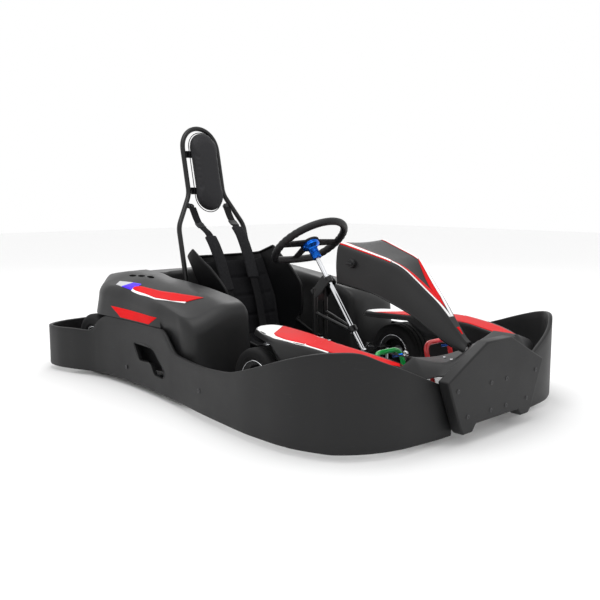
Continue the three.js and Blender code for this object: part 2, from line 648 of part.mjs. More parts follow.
// ---- steering fairing (nassau), nose deck and front wheel covers ----
const fairingTop = stretchedRun([[1184, 634], [1400, 574], [1447, 548], [1586, 426], [1640, 364], [1706, 292]]);
const fairingTopHalf = stretchedRun([[1184, 148], [1400, 97], [1447, 76], [1586, 30], [1640, 20], [1706, 12]]);
const fairingLow = stretchedRun([[1184, 500], [1371, 474], [1522, 404], [1645, 306], [1706, 272]]);
const fairingLowHalf = stretchedRun([[1184, 150], [1371, 140], [1522, 98], [1645, 50], [1706, 20]]);
const fairingStart = stretched(1184);
const fairingEnd = stretched(1706);
function fairingFace(u, v) {
  const x = lerp(fairingStart, fairingEnd, v);
  const top = along(fairingTop, x);
  const topHalf = along(fairingTopHalf, x);
  const low = along(fairingLow, x);
  const lowHalf = along(fairingLowHalf, x);
  const corners = [[0, [lowHalf, low]], [0.34, [topHalf, top]], [0.66, [-topHalf, top]], [1, [-lowHalf, low]]];
  const y = along(corners.map(([t, place]) => [t, place[0]]), u);
  const z = along(corners.map(([t, place]) => [t, place[1]]), u);
  return vec(x, y, z);
}
const fairingWall = 4;
add('nassau_panel', sheet(fairingFace, -fairingWall, 6, 10), blackPlastic);

const deckRearX = stretched(1600);
const deckFrontX = noseX - panelThickness - 2;
const deckSpread = stretchedRun([
  [1600, 316], [1699, 317], [1710, 398], [1742, 398], [1750, 350], [1758, 296], [1768, 262], [1787, 244],
]);
const noseDeckFace = (u, v) => {
  const x = lerp(deckRearX, deckFrontX, u);
  const half = along(deckSpread, x);
  const y = lerp(-half, half, v);
  const reach = Math.abs(y) / 316;
  const rear = 246 + 52 * Math.min(reach, 1) ** 2 - 100 * Math.max(reach - 1, 0);
  const front = 324 - Math.max(Math.abs(y) - 75, 0) * 0.5;
  return vec(x, y, lerp(rear, front, smooth(x, stretched(1700), deckFrontX)));
};
add('nose_deck', sheet(noseDeckFace, -4, 17, 12), blackPlastic);

const coverOutline = stretchedRun([
  [924, -326], [958, -384], [1060, -440], [1210, -496], [1400, -502], [1550, -474], [1650, -420],
  [1702, -352], [1682, -328], [1560, -336], [1440, -350], [1290, -324], [1135, -288], [1000, -264], [936, -276],
]);
const coverCrown = stretchedRun([[920, 312], [1350, 314], [1450, 304], [1710, 270]]);
const coverEdge = stretchedRun([[1180, 290], [1260, 215], [1720, 215]]);
add('front_cover_right', moulding({
  outline: coverOutline, centre: [stretched(1330), -418],
  top: (x) => along(coverCrown, x),
  bottom: (x) => along(coverEdge, x),
  shoulder: 12, wall: 3.5, segments: 28,
}), blackPlastic);
add('front_cover_left', mirrored(kart.getObjectByName('front_cover_right').geometry), blackPlastic);

// Rotary start switch on the right side of the fairing.
const switchX = stretched(1262);
const switchZ = 572;
const switchY = -along(fairingLowHalf, switchX) - 1;
const switchKnob = joined(
  crossBar(switchX, switchZ, switchY - 10, switchY, 17, 16),
  boxBetween([switchX - 15, switchY - 20, switchZ - 4], [switchX + 15, switchY - 9, switchZ + 4]),
);
add('start_switch', geometryOf(switchKnob), blackRubber);

// ---- seat ----
const seatRun = [[262, 540], [304, 452], [382, 300], [428, 170], [500, 100], [640, 84], [760, 104], [816, 138]];
const seatCurve = new THREE.CatmullRomCurve3(seatRun.map(([x, z]) => vec(x, 0, z)), false, 'centripetal');
const seatHalf = [[0, 244], [0.35, 222], [0.6, 208], [1, 188]];
const seatDepth = [[0, 92], [0.15, 165], [0.3, 218], [0.5, 160], [0.7, 145], [1, 62]];
const seatWall = 6;
function seatFace(u, v) {
  const side = 2 * u - 1;
  const middle = seatCurve.getPointAt(v);
  const tangent = seatCurve.getTangentAt(v);
  const inward = vec(-tangent.z, 0, tangent.x);
  const bend = 0.66;
  const reach = Math.min(Math.abs(side) / bend, 1);
  const rise = Math.max(Math.abs(side) - bend, 0) / (1 - bend);
  const half = along(seatHalf, v);
  const depth = along(seatDepth, v);
  const y = Math.sign(side) * half * (0.9 * Math.sin(reach * Math.PI / 2) + 0.1 * rise);
  const lift = depth * (0.16 * reach ** 3 + 0.84 * rise);
  return vec(middle.x, y, middle.z).addScaledVector(inward, lift);
}
add('seat_shell', sheet(seatFace, seatWall, 12, 11), blackPlastic);

// Upholstery inside the shell: a thick sheet just proud of the shell's inner face.
const padStart = 0.04;
const padEnd = 0.95;
const padReach = 0.34;
const padThickness = 18;
const padGap = 7;
const seatNormalAt = (u, v) => {
  const step = 1e-3;
  const alongU = seatFace(u + step, v).sub(seatFace(u - step, v));
  const alongV = seatFace(u, v + step).sub(seatFace(u, v - step));
  return alongU.cross(alongV).normalize();
};
function padFace(u, v) {
  const across = lerp(0.5 - padReach, 0.5 + padReach, u);
  const down = lerp(padStart, padEnd, v);
  return seatFace(across, down).addScaledVector(seatNormalAt(across, down), -padGap);
}
add('seat_pad', sheet(padFace, -padThickness, 6, 9), blackFabric);

// ---- hoop, head rest and harness ----
const hoopRadius = 12;
const hoopWaistY = 104;
const hoopTopZ = 1172;
const hoopLean = 0.212;
const waist = { x: 120, z: 836 };
const hoopX = (z) => waist.x - (z - waist.z) * hoopLean;
const arcCentreZ = hoopTopZ - hoopWaistY - hoopRadius;
const hoopSide = [
  vec(276, -railRearY, railTop + gap), vec(276, -railRearY, 150), vec(228, -204, 430),
  vec(165, -198, 680), vec(waist.x, -hoopWaistY, waist.z),
];
const arcPoints = [0, 0.2, 0.4, 0.6, 0.8, 1].map((t) => {
  const angle = Math.PI * t;
  const z = arcCentreZ + hoopWaistY * Math.sin(angle);
  return vec(hoopX(z), -hoopWaistY * Math.cos(angle), z);
});
const otherSide = hoopSide.map((p) => vec(p.x, -p.y, p.z)).reverse();
const hoopPath = bentPath([...hoopSide, ...arcPoints, ...otherSide], 30);
const anchorZ = 784;
const anchorTab = (side) => {
  const tubeY = hoopWaistY + (waist.z - anchorZ) * (94 / 156);
  const x = 120 + (waist.z - anchorZ) * (45 / 156);
  return rodBetween(vec(x, side * tubeY, anchorZ), vec(x + 4, side * (tubeY - 36), anchorZ - 8), 9, 8);
};
const hoopSteps = 60;
add('roll_hoop', geometryOf(joined(tubeAlong(hoopPath, hoopRadius, hoopSteps, 3), anchorTab(-1), anchorTab(1))), blackSteel);

const padCentreZ = 940;
const headPadHalf = 198;
const headPadWidth = 158;
const headPadThickness = 54;
const bracketInnerY = hoopWaistY - hoopRadius - 2;
const bracketParts = [1032, 850].map((z) =>
  boxBetween([-3, -bracketInnerY, z - padCentreZ - 17], [3, bracketInnerY, z - padCentreZ + 17]));
bracketParts.push(boxBetween([-3, -24, -100], [3, 24, 102]));
const headRest = new THREE.Group();
headRest.position.set(hoopX(padCentreZ), 0, padCentreZ);
headRest.rotation.y = -Math.atan(hoopLean);
kart.add(headRest);
add('headrest_bracket', geometryOf(joined(...bracketParts)), blackSteel, headRest);

const capsule = new THREE.Shape();
const capRadius = headPadWidth / 2;
capsule.absarc(0, headPadHalf - capRadius, capRadius, 0, Math.PI, false);
capsule.absarc(0, -headPadHalf + capRadius, capRadius, Math.PI, Math.PI * 2, false);
const padRound = 14;
const headPad = new THREE.ExtrudeGeometry(capsule, {
  depth: headPadThickness - padRound * 2, curveSegments: 7, steps: 1,
  bevelEnabled: true, bevelThickness: padRound, bevelSize: padRound, bevelOffset: -padRound, bevelSegments: 1,
});
headPad.applyMatrix4(toFront);
headPad.translate(3 + gap + padRound, 0, 0);
add('headrest_pad', headPad, blackFabric, headRest);

// Shoulder belts: a web from the hoop tab, a wider sleeve pad, then a web down to the buckle.
function shoulderBelt(route, padFrom, padTo) {
  const curve = new THREE.CatmullRomCurve3(route.map(([x, y, z]) => vec(x, y, z)), false, 'centripetal');
  const inPad = (v) => smooth(v, padFrom - 0.02, padFrom) - smooth(v, padTo, padTo + 0.02);
  const face = (u, v) => {
    const at = curve.getPointAt(v);
    const half = lerp(21, 31, inPad(v));
    return at.add(vec(0, lerp(-half, half, u), 0));
  };
  return sheet(face, (u, v) => -lerp(4, 18, inPad(v)), 1, 24);
}
const rightRoute = [
  [142, -104, 766], [186, -98, 690], [262, -94, 640], [318, -90, 560], [372, -86, 440], [424, -80, 320],
  [470, -66, 214], [520, -46, 150], [566, -26, 134],
];
const leftRoute = [
  [142, 104, 766], [190, 98, 704], [258, 94, 650], [318, 90, 560], [372, 86, 440], [424, 80, 320],
  [470, 66, 214], [520, 46, 150], [566, 26, 134],
];
add('shoulder_belt_right', shoulderBelt(rightRoute, 0.24, 0.62), blackFabric);
add('shoulder_belt_left', shoulderBelt(leftRoute, 0.17, 0.54), blackFabric);

const buckleX = 596;
const buckle = new THREE.CylinderGeometry(27, 27, 18, 18);
buckle.rotateX(Math.PI / 2);
buckle.translate(buckleX, 0, 138);
add('belt_buckle', buckle, brightSteel);
function lapFace(u, v) {
  const y = lerp(-172, -32, v);
  const rise = 118 + 62 * ((Math.abs(y) - 32) / 140) ** 2;
  return vec(lerp(buckleX - 20, buckleX + 20, u) - 60 * smooth(-y, 40, 172), y, rise);
}
addPair('lap_belt', sheet(lapFace, 4, 1, 6), blackFabric);

export default kart;
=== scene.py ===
import math

import bmesh
import bpy
import numpy as np
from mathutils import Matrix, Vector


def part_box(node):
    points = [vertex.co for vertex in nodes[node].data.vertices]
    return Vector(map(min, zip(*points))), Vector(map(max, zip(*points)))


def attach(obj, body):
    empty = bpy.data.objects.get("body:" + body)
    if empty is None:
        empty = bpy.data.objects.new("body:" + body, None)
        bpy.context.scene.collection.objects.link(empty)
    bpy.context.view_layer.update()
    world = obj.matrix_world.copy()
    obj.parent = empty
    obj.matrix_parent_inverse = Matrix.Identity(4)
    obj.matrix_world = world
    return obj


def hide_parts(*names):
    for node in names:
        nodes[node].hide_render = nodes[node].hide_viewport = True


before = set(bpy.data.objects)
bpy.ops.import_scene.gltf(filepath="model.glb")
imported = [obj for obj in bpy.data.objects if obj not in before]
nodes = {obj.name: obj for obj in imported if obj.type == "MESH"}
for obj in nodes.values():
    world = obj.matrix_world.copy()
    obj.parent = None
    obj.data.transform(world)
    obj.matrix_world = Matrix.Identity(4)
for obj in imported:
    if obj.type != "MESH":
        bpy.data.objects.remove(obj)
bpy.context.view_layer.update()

# Shapes are drawn in millimetres from the rear axle, right half of the kart with y below zero.
axleLow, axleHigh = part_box("rear_axle")
axleX = (axleLow[0] + axleHigh[0]) / 2
sideNames = {-1: "right", 1: "left"}


def place(points):
    # millimetres from the rear axle to the shared frame in metres
    return np.asarray(points, float) / 1000 + [axleX, 0, 0]


def toSide(points, side):
    # the same points on the right (-1) or the left (1) of the kart
    return np.asarray(points, float) * [1, -side, 1]


def smoothStep(value, low, high):
    # 0 below low, 1 above high, three t squared minus two t cubed between
    t = np.clip((value - low) / (high - low), 0, 1)
    return t * t * (3 - 2 * t)


def unit(vectors):
    return vectors / np.linalg.norm(vectors, axis=-1, keepdims=True)


def fullTurn(count):
    # equal angles once round
    return np.linspace(0, 2 * math.pi, count, endpoint=False)


def mirrored(half):
    # a profile of [radius, along] pairs and its mirror image, in one run
    return half + [(radius, -along) for radius, along in half[::-1]]


def curveThrough(points, count, closed=False):
    # centripetal spline through the points, read at equal steps of length
    p = np.asarray(points, float)
    p = np.vstack([p[-1:], p, p[:2]]) if closed else np.vstack([2 * p[0] - p[1], p, 2 * p[-1] - p[-2]])
    knots = np.concatenate([[0], np.cumsum(np.sqrt(np.linalg.norm(np.diff(p, axis=0), axis=1)))])
    spans = len(p) - 3
    a, b, c, d = (p[k:k + spans, None, :] for k in range(4))
    ka, kb, kc, kd = (knots[k:k + spans, None, None] for k in range(4))
    t = kb + (kc - kb) * np.linspace(0, 1, 40, endpoint=False)[None, :, None]
    ab = (kb - t) / (kb - ka) * a + (t - ka) / (kb - ka) * b
    bc = (kc - t) / (kc - kb) * b + (t - kb) / (kc - kb) * c
    cd = (kd - t) / (kd - kc) * c + (t - kc) / (kd - kc) * d
    abc = (kc - t) / (kc - ka) * ab + (t - ka) / (kc - ka) * bc
    bcd = (kd - t) / (kd - kb) * bc + (t - kb) / (kd - kb) * cd
    dense = ((kc - t) / (kc - kb) * abc + (t - kb) / (kc - kb) * bcd).reshape(-1, p.shape[1])
    dense = np.vstack([dense, p[-2:-1]])
    return evenSteps(dense, count, closed)


def evenSteps(dense, count, closed=False):
    reach = np.concatenate([[0], np.cumsum(np.linalg.norm(np.diff(dense, axis=0), axis=1))])
    at = np.linspace(0, reach[-1], count, endpoint=not closed)
    return np.stack([np.interp(at, reach, dense[:, k]) for k in range(dense.shape[1])], -1)


def bentRun(points, bend, perBend=9):
    # straight runs joined by round bends: each corner becomes a quadratic curve
    p = np.asarray(points, float)
    t = np.linspace(0, 1, perBend)[:, None]
    parts = [p[:1]]
    for i in range(1, len(p) - 1):
        before, after = p[i - 1] - p[i], p[i + 1] - p[i]
        lengths = np.linalg.norm(before), np.linalg.norm(after)
        reach = min(bend, lengths[0] * 0.48, lengths[1] * 0.48)
        enter, leave = p[i] + before / lengths[0] * reach, p[i] + after / lengths[1] * reach
        parts.append((1 - t) ** 2 * enter + 2 * t * (1 - t) * p[i] + t ** 2 * leave)
    parts.append(p[-1:])
    return np.vstack(parts)


def newObject(name, verts, faces, smooth=True):
    mesh = bpy.data.meshes.new(name)
    mesh.from_pydata(np.asarray(verts).reshape(-1, 3).tolist(), [], faces)
    mesh.update()
    mesh.polygons.foreach_set("use_smooth", [smooth] * len(mesh.polygons))
    made = bpy.data.objects.new(name, mesh)
    bpy.context.scene.collection.objects.link(made)
    return made


def gridFaces(nu, nv, closeU=False, closeV=False, caps=False):
    index = np.arange(nu * nv).reshape(nu, nv)
    if closeU:
        index = np.vstack([index, index[:1]])
    if closeV:
        index = np.hstack([index, index[:, :1]])
    quads = np.stack([index[:-1, :-1], index[1:, :-1], index[1:, 1:], index[:-1, 1:]], -1)
    faces = quads.reshape(-1, 4).tolist()
    if caps:
        faces += [index[0, :nv][::-1].tolist(), index[nu - 1, :nv].tolist()]
    return faces


def tidyMesh(made, weld=2e-6):
    # welds poles and seams, then turns every face outwards
    work = bmesh.new()
    work.from_mesh(made.data)
    bmesh.ops.remove_doubles(work, verts=work.verts, dist=weld)
    bmesh.ops.recalc_face_normals(work, faces=work.faces)
    work.to_mesh(made.data)
    work.free()
    return made


def gridObject(name, points, closeU=False, closeV=False, caps=False):
    nu, nv = points.shape[:2]
    return tidyMesh(newObject(name, place(points), gridFaces(nu, nv, closeU, closeV, caps)))


def sweep(name, path, up, section, grow=None, closed=False):
    # a closed section of [across, up] pairs carried along a path; across is up x way
    path = np.asarray(path, float)
    way = np.gradient(path, axis=0)
    if closed:
        way = np.roll(path, -1, 0) - np.roll(path, 1, 0)
    way = unit(way)
    across = unit(np.cross(np.broadcast_to(up, way.shape), way))
    rise = np.cross(way, across)
    size = np.ones(len(path)) if grow is None else grow
    section = np.asarray(section, float)
    points = path[:, None] + size[:, None, None] * (
        section[None, :, :1] * across[:, None] + section[None, :, 1:] * rise[:, None])
    return gridObject(name, points, closeU=closed, closeV=True, caps=not closed)


def ringSection(radius, sides=16):
    turn = fullTurn(sides)
    return np.stack([np.cos(turn) * radius, np.sin(turn) * radius], -1)


def roundedSection(width, height, radius, steps=4):
    # a rectangle with round corners
    turn = np.linspace(0, math.pi / 2, steps + 1)
    corners = []
    for i, (sx, sy) in enumerate([(1, 1), (-1, 1), (-1, -1), (1, -1)]):
        cx, cy = sx * (width / 2 - radius), sy * (height / 2 - radius)
        corners.append(np.stack([cx + radius * np.cos(turn + i * math.pi / 2),
                                 cy + radius * np.sin(turn + i * math.pi / 2)], -1))
    return np.vstack(corners)


def tube(name, points, radius, up=(0, 0, 1), bend=40, sides=16):
    return sweep(name, bentRun(points, bend), up, ringSection(radius, sides))


def turnedPart(name, profile, centre, axis=(0, 1, 0), steps=72):
    # a profile of [radius, along] pairs turned about an axis; a closed ring unless it ends at 0
    profile = np.asarray(profile, float)
    axis = np.asarray(axis, float)
    first = unit(np.cross(axis, [0.31, 0.17, 0.93]))
    second = np.cross(axis, first)
    turn = fullTurn(steps)
    spoke = np.cos(turn)[:, None] * first + np.sin(turn)[:, None] * second
    points = (np.asarray(centre, float) + profile[None, :, :1] * spoke[:, None]
              + profile[None, :, 1:] * axis)
    return gridObject(name, points, closeU=True, closeV=profile[0][0] > 0)


def joinedPieces(name, pieces):
    work = bmesh.new()
    for piece in pieces:
        work.from_mesh(piece.data)
        bpy.data.objects.remove(piece)
    made = bpy.data.objects.new(name, bpy.data.meshes.new(name))
    work.to_mesh(made.data)
    work.free()
    bpy.context.scene.collection.objects.link(made)
    made.data.polygons.foreach_set("use_smooth", [True] * len(made.data.polygons))
    return made


def addModifier(made, kind, **settings):
    modifier = made.modifiers.new(kind.title(), kind)
    for key, value in settings.items():
        setattr(modifier, key, value)
    return modifier


def pointsOf(made):
    spots = np.empty(len(made.data.vertices) * 3)
    made.data.vertices.foreach_get("co", spots)
    return spots.reshape(-1, 3)


def facesOf(made):
    return [list(face.vertices) for face in made.data.polygons]


def applied(made):
    bpy.context.view_layer.update()
    graph = bpy.context.evaluated_depsgraph_get()
    shape = bpy.data.meshes.new_from_object(made.evaluated_get(graph), depsgraph=graph)
    made.modifiers.clear()
    made.data = shape
    return made


def sharpEdges(made, degrees=32):
    # smooth shading that breaks at folds sharper than this
    work = bmesh.new()
    work.from_mesh(made.data)
    limit = math.radians(degrees)
    for edge in work.edges:
        edge.smooth = len(edge.link_faces) != 2 or edge.calc_face_angle(0) < limit
    work.to_mesh(made.data)
    work.free()
    return made


def finishPiece(made, body, slotName, finish, replaced=None):
    made.data.materials.clear()
    made.data.materials.append(skins[finish])
    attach(made, body)
    if replaced:
        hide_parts(replaced)
    return made


def plasticPiece(made, finish, replaced=None):
    return finishPiece(made, "chassis", "black_plastic", finish, replaced)


# surface effects shared by the materials
def addNode(tree, kind, inputs=None, **settings):
    made = tree.nodes.new(kind)
    for key, value in settings.items():
        setattr(made, key, value)
    for key, value in (inputs or {}).items():
        if isinstance(value, bpy.types.NodeSocket):
            tree.links.new(value, made.inputs[key])
        else:
            made.inputs[key].default_value = value
    return made


def maths(tree, operation, *values):
    return addNode(tree, "ShaderNodeMath", dict(enumerate(values)), operation=operation).outputs[0]


def remapped(tree, value, low, high, newLow, newHigh):
    return addNode(tree, "ShaderNodeMapRange", {"Value": value, "From Min": low, "From Max": high,
                                                "To Min": newLow, "To Max": newHigh}).outputs[0]


def noiseAt(tree, vector, scale, detail, roughness=0.5):
    return addNode(tree, "ShaderNodeTexNoise", {
        "Vector": vector, "Scale": scale, "Detail": detail, "Roughness": roughness}).outputs[0]


def newGroup(name, numbers, outputs):
    # a node group taking a vector and some numbers, giving values only
    group = bpy.data.node_groups.new(name, "ShaderNodeTree")
    group.interface.new_socket("Vector", in_out="INPUT", socket_type="NodeSocketVector")
    for label in numbers:
        group.interface.new_socket(label, in_out="INPUT", socket_type="NodeSocketFloat")
    for label in outputs:
        group.interface.new_socket(label, in_out="OUTPUT", socket_type="NodeSocketFloat")
    return group, group.nodes.new("NodeGroupInput").outputs, group.nodes.new("NodeGroupOutput").inputs


def buildMouldedGrain():
    # fine pebble height, broad tone drift and roughness drift of moulded plastic and paint
    group, given, result = newGroup("mouldedGrain", ["Grain", "Drift"], ["Height", "Tone", "Rough"])
    pebble = noiseAt(group, given["Vector"], given["Grain"], 3.0, 0.6)
    broad = noiseAt(group, given["Vector"], given["Drift"], 5.0, 0.65)
    group.links.new(pebble, result["Height"])
    group.links.new(remapped(group, broad, 0.3, 0.7, 0.86, 1.14), result["Tone"])
    group.links.new(remapped(group, broad, 0.3, 0.7, -0.05, 0.06), result["Rough"])
    return group


def buildScuffs():
    # sparse thin scratches: stretched noise cut off high, so only its crests count
    group, given, result = newGroup("scuffs", ["Size", "Amount"], ["Mask"])
    turned = addNode(group, "ShaderNodeMapping", {
        "Vector": given["Vector"], "Rotation": (0.3, 0.5, 0.2), "Scale": (1.0, 1.0, 14.0)})
    lines = noiseAt(group, turned.outputs[0], given["Size"], 2.0)
    patches = noiseAt(group, given["Vector"], 6.0, 2.0)
    both = maths(group, "MULTIPLY", remapped(group, lines, 0.66, 0.74, 0.0, 1.0),
                 remapped(group, patches, 0.5, 0.62, 0.0, 1.0))
    group.links.new(maths(group, "MULTIPLY", both, given["Amount"]), result["Mask"])
    return group


def buildWeave():
    # crossed threads: the larger of two sines running along opposite diagonals
    group, given, result = newGroup("weave", ["Threads"], ["Height", "Tone"])
    parts = addNode(group, "ShaderNodeSeparateXYZ", {0: given["Vector"]}).outputs
    across, along, third = (maths(group, "MULTIPLY", parts[k], given["Threads"]) for k in range(3))
    diagonal = maths(group, "SINE", maths(group, "ADD", across, maths(group, "ADD", along, third)))
    cross = maths(group, "SINE", maths(group, "SUBTRACT", across, maths(group, "SUBTRACT", along, third)))
    group.links.new(maths(group, "MAXIMUM", diagonal, cross), result["Height"])
    fluff = noiseAt(group, given["Vector"], 90.0, 3.0)
    group.links.new(remapped(group, fluff, 0.3, 0.7, 0.75, 1.25), result["Tone"])
    return group


grainGroup, scuffGroup, weaveGroup = buildMouldedGrain(), buildScuffs(), buildWeave()


def newMaterial(name, look):
    # base colour times the grain's tone, then weave and scuffs where the look asks for them
    material = bpy.data.materials.new(name)
    material.use_nodes = True
    tree = material.node_tree
    shader = tree.nodes["Principled BSDF"]
    spots = addNode(tree, "ShaderNodeTexCoord").outputs["UV" if look.get("onUv") else "Object"]
    grain = addNode(tree, "ShaderNodeGroup", {
        "Vector": spots, "Grain": look.get("grain", 900.0), "Drift": look.get("drift", 5.0)},
        node_tree=grainGroup)
    colour = addNode(tree, "ShaderNodeVectorMath", {
        0: look["colour"], "Scale": grain.outputs["Tone"]}, operation="SCALE").outputs[0]
    height = grain.outputs["Height"]
    if "weave" in look:
        weave = addNode(tree, "ShaderNodeGroup", {"Vector": spots, "Threads": look["weave"]},
                        node_tree=weaveGroup)
        height = maths(tree, "ADD", height, weave.outputs["Height"])
        colour = addNode(tree, "ShaderNodeVectorMath", {
            0: colour, "Scale": weave.outputs["Tone"]}, operation="SCALE").outputs[0]
    if look.get("scuff"):
        scuff = addNode(tree, "ShaderNodeGroup", {"Vector": spots, "Size": 22.0, "Amount": look["scuff"]},
                        node_tree=scuffGroup)
        mix = tree.nodes.new("ShaderNodeMix")
        mix.data_type = "RGBA"
        tree.links.new(scuff.outputs["Mask"], mix.inputs[0])
        tree.links.new(colour, mix.inputs[6])
        mix.inputs[7].default_value = look.get("scuffColour", (0.12, 0.12, 0.13, 1))
        colour = mix.outputs[2]
    tree.links.new(colour, shader.inputs["Base Color"])
    tree.links.new(maths(tree, "ADD", grain.outputs["Rough"], look["rough"]), shader.inputs["Roughness"])
    plain = {"Metallic": look.get("metal", 0.0), "Coat Weight": look.get("coat", 0.0),
             "Coat Roughness": 0.15, "Specular IOR Level": look.get("specular", 0.5)}
    for key, value in plain.items():
        shader.inputs[key].default_value = value
    bump = addNode(tree, "ShaderNodeBump",
                   {"Height": height, "Strength": look["bump"], "Distance": look.get("relief", 0.0006)})
    tree.links.new(bump.outputs[0], shader.inputs["Normal"])
    return material


looks = {
    "bumperPlastic": dict(colour=(0.009, 0.009, 0.0095), rough=0.5, specular=0.3, grain=700.0, bump=0.18,
                          scuff=0.25, scuffColour=(0.05, 0.05, 0.055, 1)),
    "podPlastic": dict(colour=(0.011, 0.011, 0.0115), rough=0.42, specular=0.32, grain=1100.0, bump=0.12,
                       scuff=0.1, scuffColour=(0.06, 0.06, 0.065, 1)),
    "seatPlastic": dict(colour=(0.004, 0.004, 0.0045), rough=0.42, specular=0.16, grain=500.0, bump=0.2),
    "upholstery": dict(colour=(0.006, 0.006, 0.007), rough=0.8, specular=0.12, weave=2600.0, bump=0.35),
    "headPadSkin": dict(colour=(0.016, 0.016, 0.018), rough=0.6, specular=0.25, grain=420.0, bump=0.4,
                        relief=0.001),
    "webbing": dict(colour=(0.009, 0.009, 0.01), rough=0.8, specular=0.15, weave=3600.0, bump=0.6,
                    relief=0.0008, onUv=True),
    "sleeveCloth": dict(colour=(0.014, 0.014, 0.0155), rough=0.86, specular=0.15, weave=2400.0, bump=0.5,
                        onUv=True),
    "gripRubber": dict(colour=(0.009, 0.009, 0.01), rough=0.5, specular=0.3, grain=1500.0, bump=0.35),
    "tyreRubber": dict(colour=(0.011, 0.011, 0.0115), rough=0.75, specular=0.25, grain=380.0, bump=0.4,
                       scuff=0.35, scuffColour=(0.05, 0.048, 0.045, 1)),
    "blackTube": dict(colour=(0.007, 0.007, 0.0075), rough=0.34, specular=0.3, grain=1400.0, bump=0.1,
                      coat=0.12, scuff=0.12, scuffColour=(0.2, 0.2, 0.21, 1)),
    "chromeSteel": dict(colour=(0.72, 0.73, 0.75), rough=0.16, metal=1.0, grain=260.0, bump=0.03),
    "brushedSteel": dict(colour=(0.5, 0.51, 0.53), rough=0.34, metal=1.0, grain=800.0, bump=0.1),
    "castAlloy": dict(colour=(0.34, 0.345, 0.36), rough=0.42, metal=0.9, grain=600.0, bump=0.2),
    "blueAnodised": dict(colour=(0.008, 0.15, 0.72), rough=0.24, metal=0.85, grain=900.0, bump=0.05),
    "greenPaint": dict(colour=(0.004, 0.36, 0.06), rough=0.28, coat=0.5, grain=500.0, bump=0.06, scuff=0.2,
                       scuffColour=(0.3, 0.4, 0.3, 1)),
    "redPaint": dict(colour=(0.75, 0.03, 0.035), rough=0.3, coat=0.4, grain=500.0, bump=0.06),
    "rimBlack": dict(colour=(0.01, 0.01, 0.011), rough=0.4, specular=0.35, grain=600.0, bump=0.15),
    "stickerRed": dict(colour=(0.66, 0.005, 0.007), rough=0.45, specular=0.08, grain=300.0, bump=0.04,
                       drift=3.0),
    "stickerWhite": dict(colour=(0.9, 0.9, 0.9), rough=0.35, coat=0.1, grain=300.0, bump=0.04, drift=3.0),
    "stickerGrey": dict(colour=(0.5, 0.5, 0.52), rough=0.35, coat=0.3, grain=300.0, bump=0.04, drift=3.0),
    "stickerBlue": dict(colour=(0.07, 0.01, 0.9), rough=0.35, specular=0.25, coat=0.05, grain=300.0,
                        bump=0.04, drift=3.0),
    "batteryCase": dict(colour=(0.03, 0.03, 0.032), rough=0.5, grain=500.0, bump=0.25),
}
skins = {name: newMaterial(name, look) for name, look in looks.items()}
print("materials ready:", len(skins))

# CAD nodes that stay, with their finish.
keptNodes = {
    "blackTube": ["frame_rail_right", "frame_rail_left", "crossmember_rear", "crossmember_seat",
                  "side_frame_right", "side_frame_left", "nose_tube", "front_beam",
                  "axle_bearing_right", "axle_bearing_left", "headrest_bracket"],
    "castAlloy": ["floor_tray"],
    "gripRubber": ["drive_belt"],
    "batteryCase": ["battery_right", "battery_left"],
    "redPaint": ["brake_caliper"],
    "chromeSteel": ["stub_axle_right", "stub_axle_left", "tie_rod_right", "tie_rod_left"],
}
for finish, names in keptNodes.items():
    for name in names:
        nodes[name].data.materials.clear()
        nodes[name].data.materials.append(skins[finish])


# bumper
bumper = dict(
    bottom=22, wall=16, lip=7, stations=260, rearX=-320, rearHalf=419, rearTop=214, rearSteps=60,
    run=[(-320, -420, 214), (-319, -480, 214), (-301, -592, 214), (-243, -684, 214), (-143, -698, 215),
         (-40, -671, 217), (68, -628, 220), (112, -617, 262), (165, -609, 290), (300, -604, 294),
         (450, -608, 294), (590, -618, 293), (667, -626, 290), (720, -632, 250), (765, -637, 216),
         (870, -653, 206), (980, -670, 204), (1090, -683, 209), (1190, -694, 220), (1290, -703, 247),
         (1380, -703, 276), (1450, -701, 300), (1524, -690, 323), (1600, -664, 343), (1650, -640, 350),
         (1706, -576, 347), (1742, -507, 317), (1763, -437, 288), (1779, -300, 228), (1782, -266, 214),
         (1783, -200, 204)],
    window=[(414, 203), (573, 201), (624, 167), (685, 115), (662, 90), (591, 94), (554, 134), (459, 136)],
)


def wallSection(wall, lip):
    # [inward, share of the height, lift]: an upright wall with a round top edge and a round foot
    turn = np.linspace(0, math.pi, 9)
    top = np.stack([wall / 2 - wall / 2 * np.cos(turn), np.ones(9), 4 * np.sin(turn) - 4], -1)
    rise = np.linspace(0, 1, 10)[1:-1]
    outer = np.stack([np.zeros(8), rise, lip * (1 - 2 * rise)], -1)
    foot = np.array([(wall * 0.5, 0, 0), (wall * 0.16, 0, 1), (0, 0, lip)])
    inner = np.stack([np.full(8, wall), rise[::-1], np.zeros(8)], -1)
    return np.vstack([foot, outer, top, inner, [(wall, 0, lip), (wall * 0.84, 0, 1)]])


def bumperWall(name, side):
    path = curveThrough(bumper["run"], bumper["stations"])
    way = unit(np.gradient(path[:, :2], axis=0))
    inward = np.stack([-way[:, 1], way[:, 0]], -1)       # the run goes forwards on the right side
    section = wallSection(bumper["wall"], bumper["lip"])
    height = path[:, 2] - bumper["bottom"]
    points = np.empty((len(path), len(section), 3))
    points[..., :2] = path[:, None, :2] + section[None, :, :1] * inward[:, None]
    points[..., 2] = bumper["bottom"] + section[None, :, 1] * height[:, None] + section[None, :, 2]
    return gridObject(name, toSide(points, side), closeV=True, caps=True)


def prism(name, outline, depthFrom, depthTo):
    # an outline of [x, z] pairs run straight across the kart
    outline = np.asarray(outline, float)
    rings = [np.stack([outline[:, 0], np.full(len(outline), y), outline[:, 1]], -1)
             for y in (depthFrom, depthTo)]
    return gridObject(name, np.stack(rings), closeV=True, caps=True)


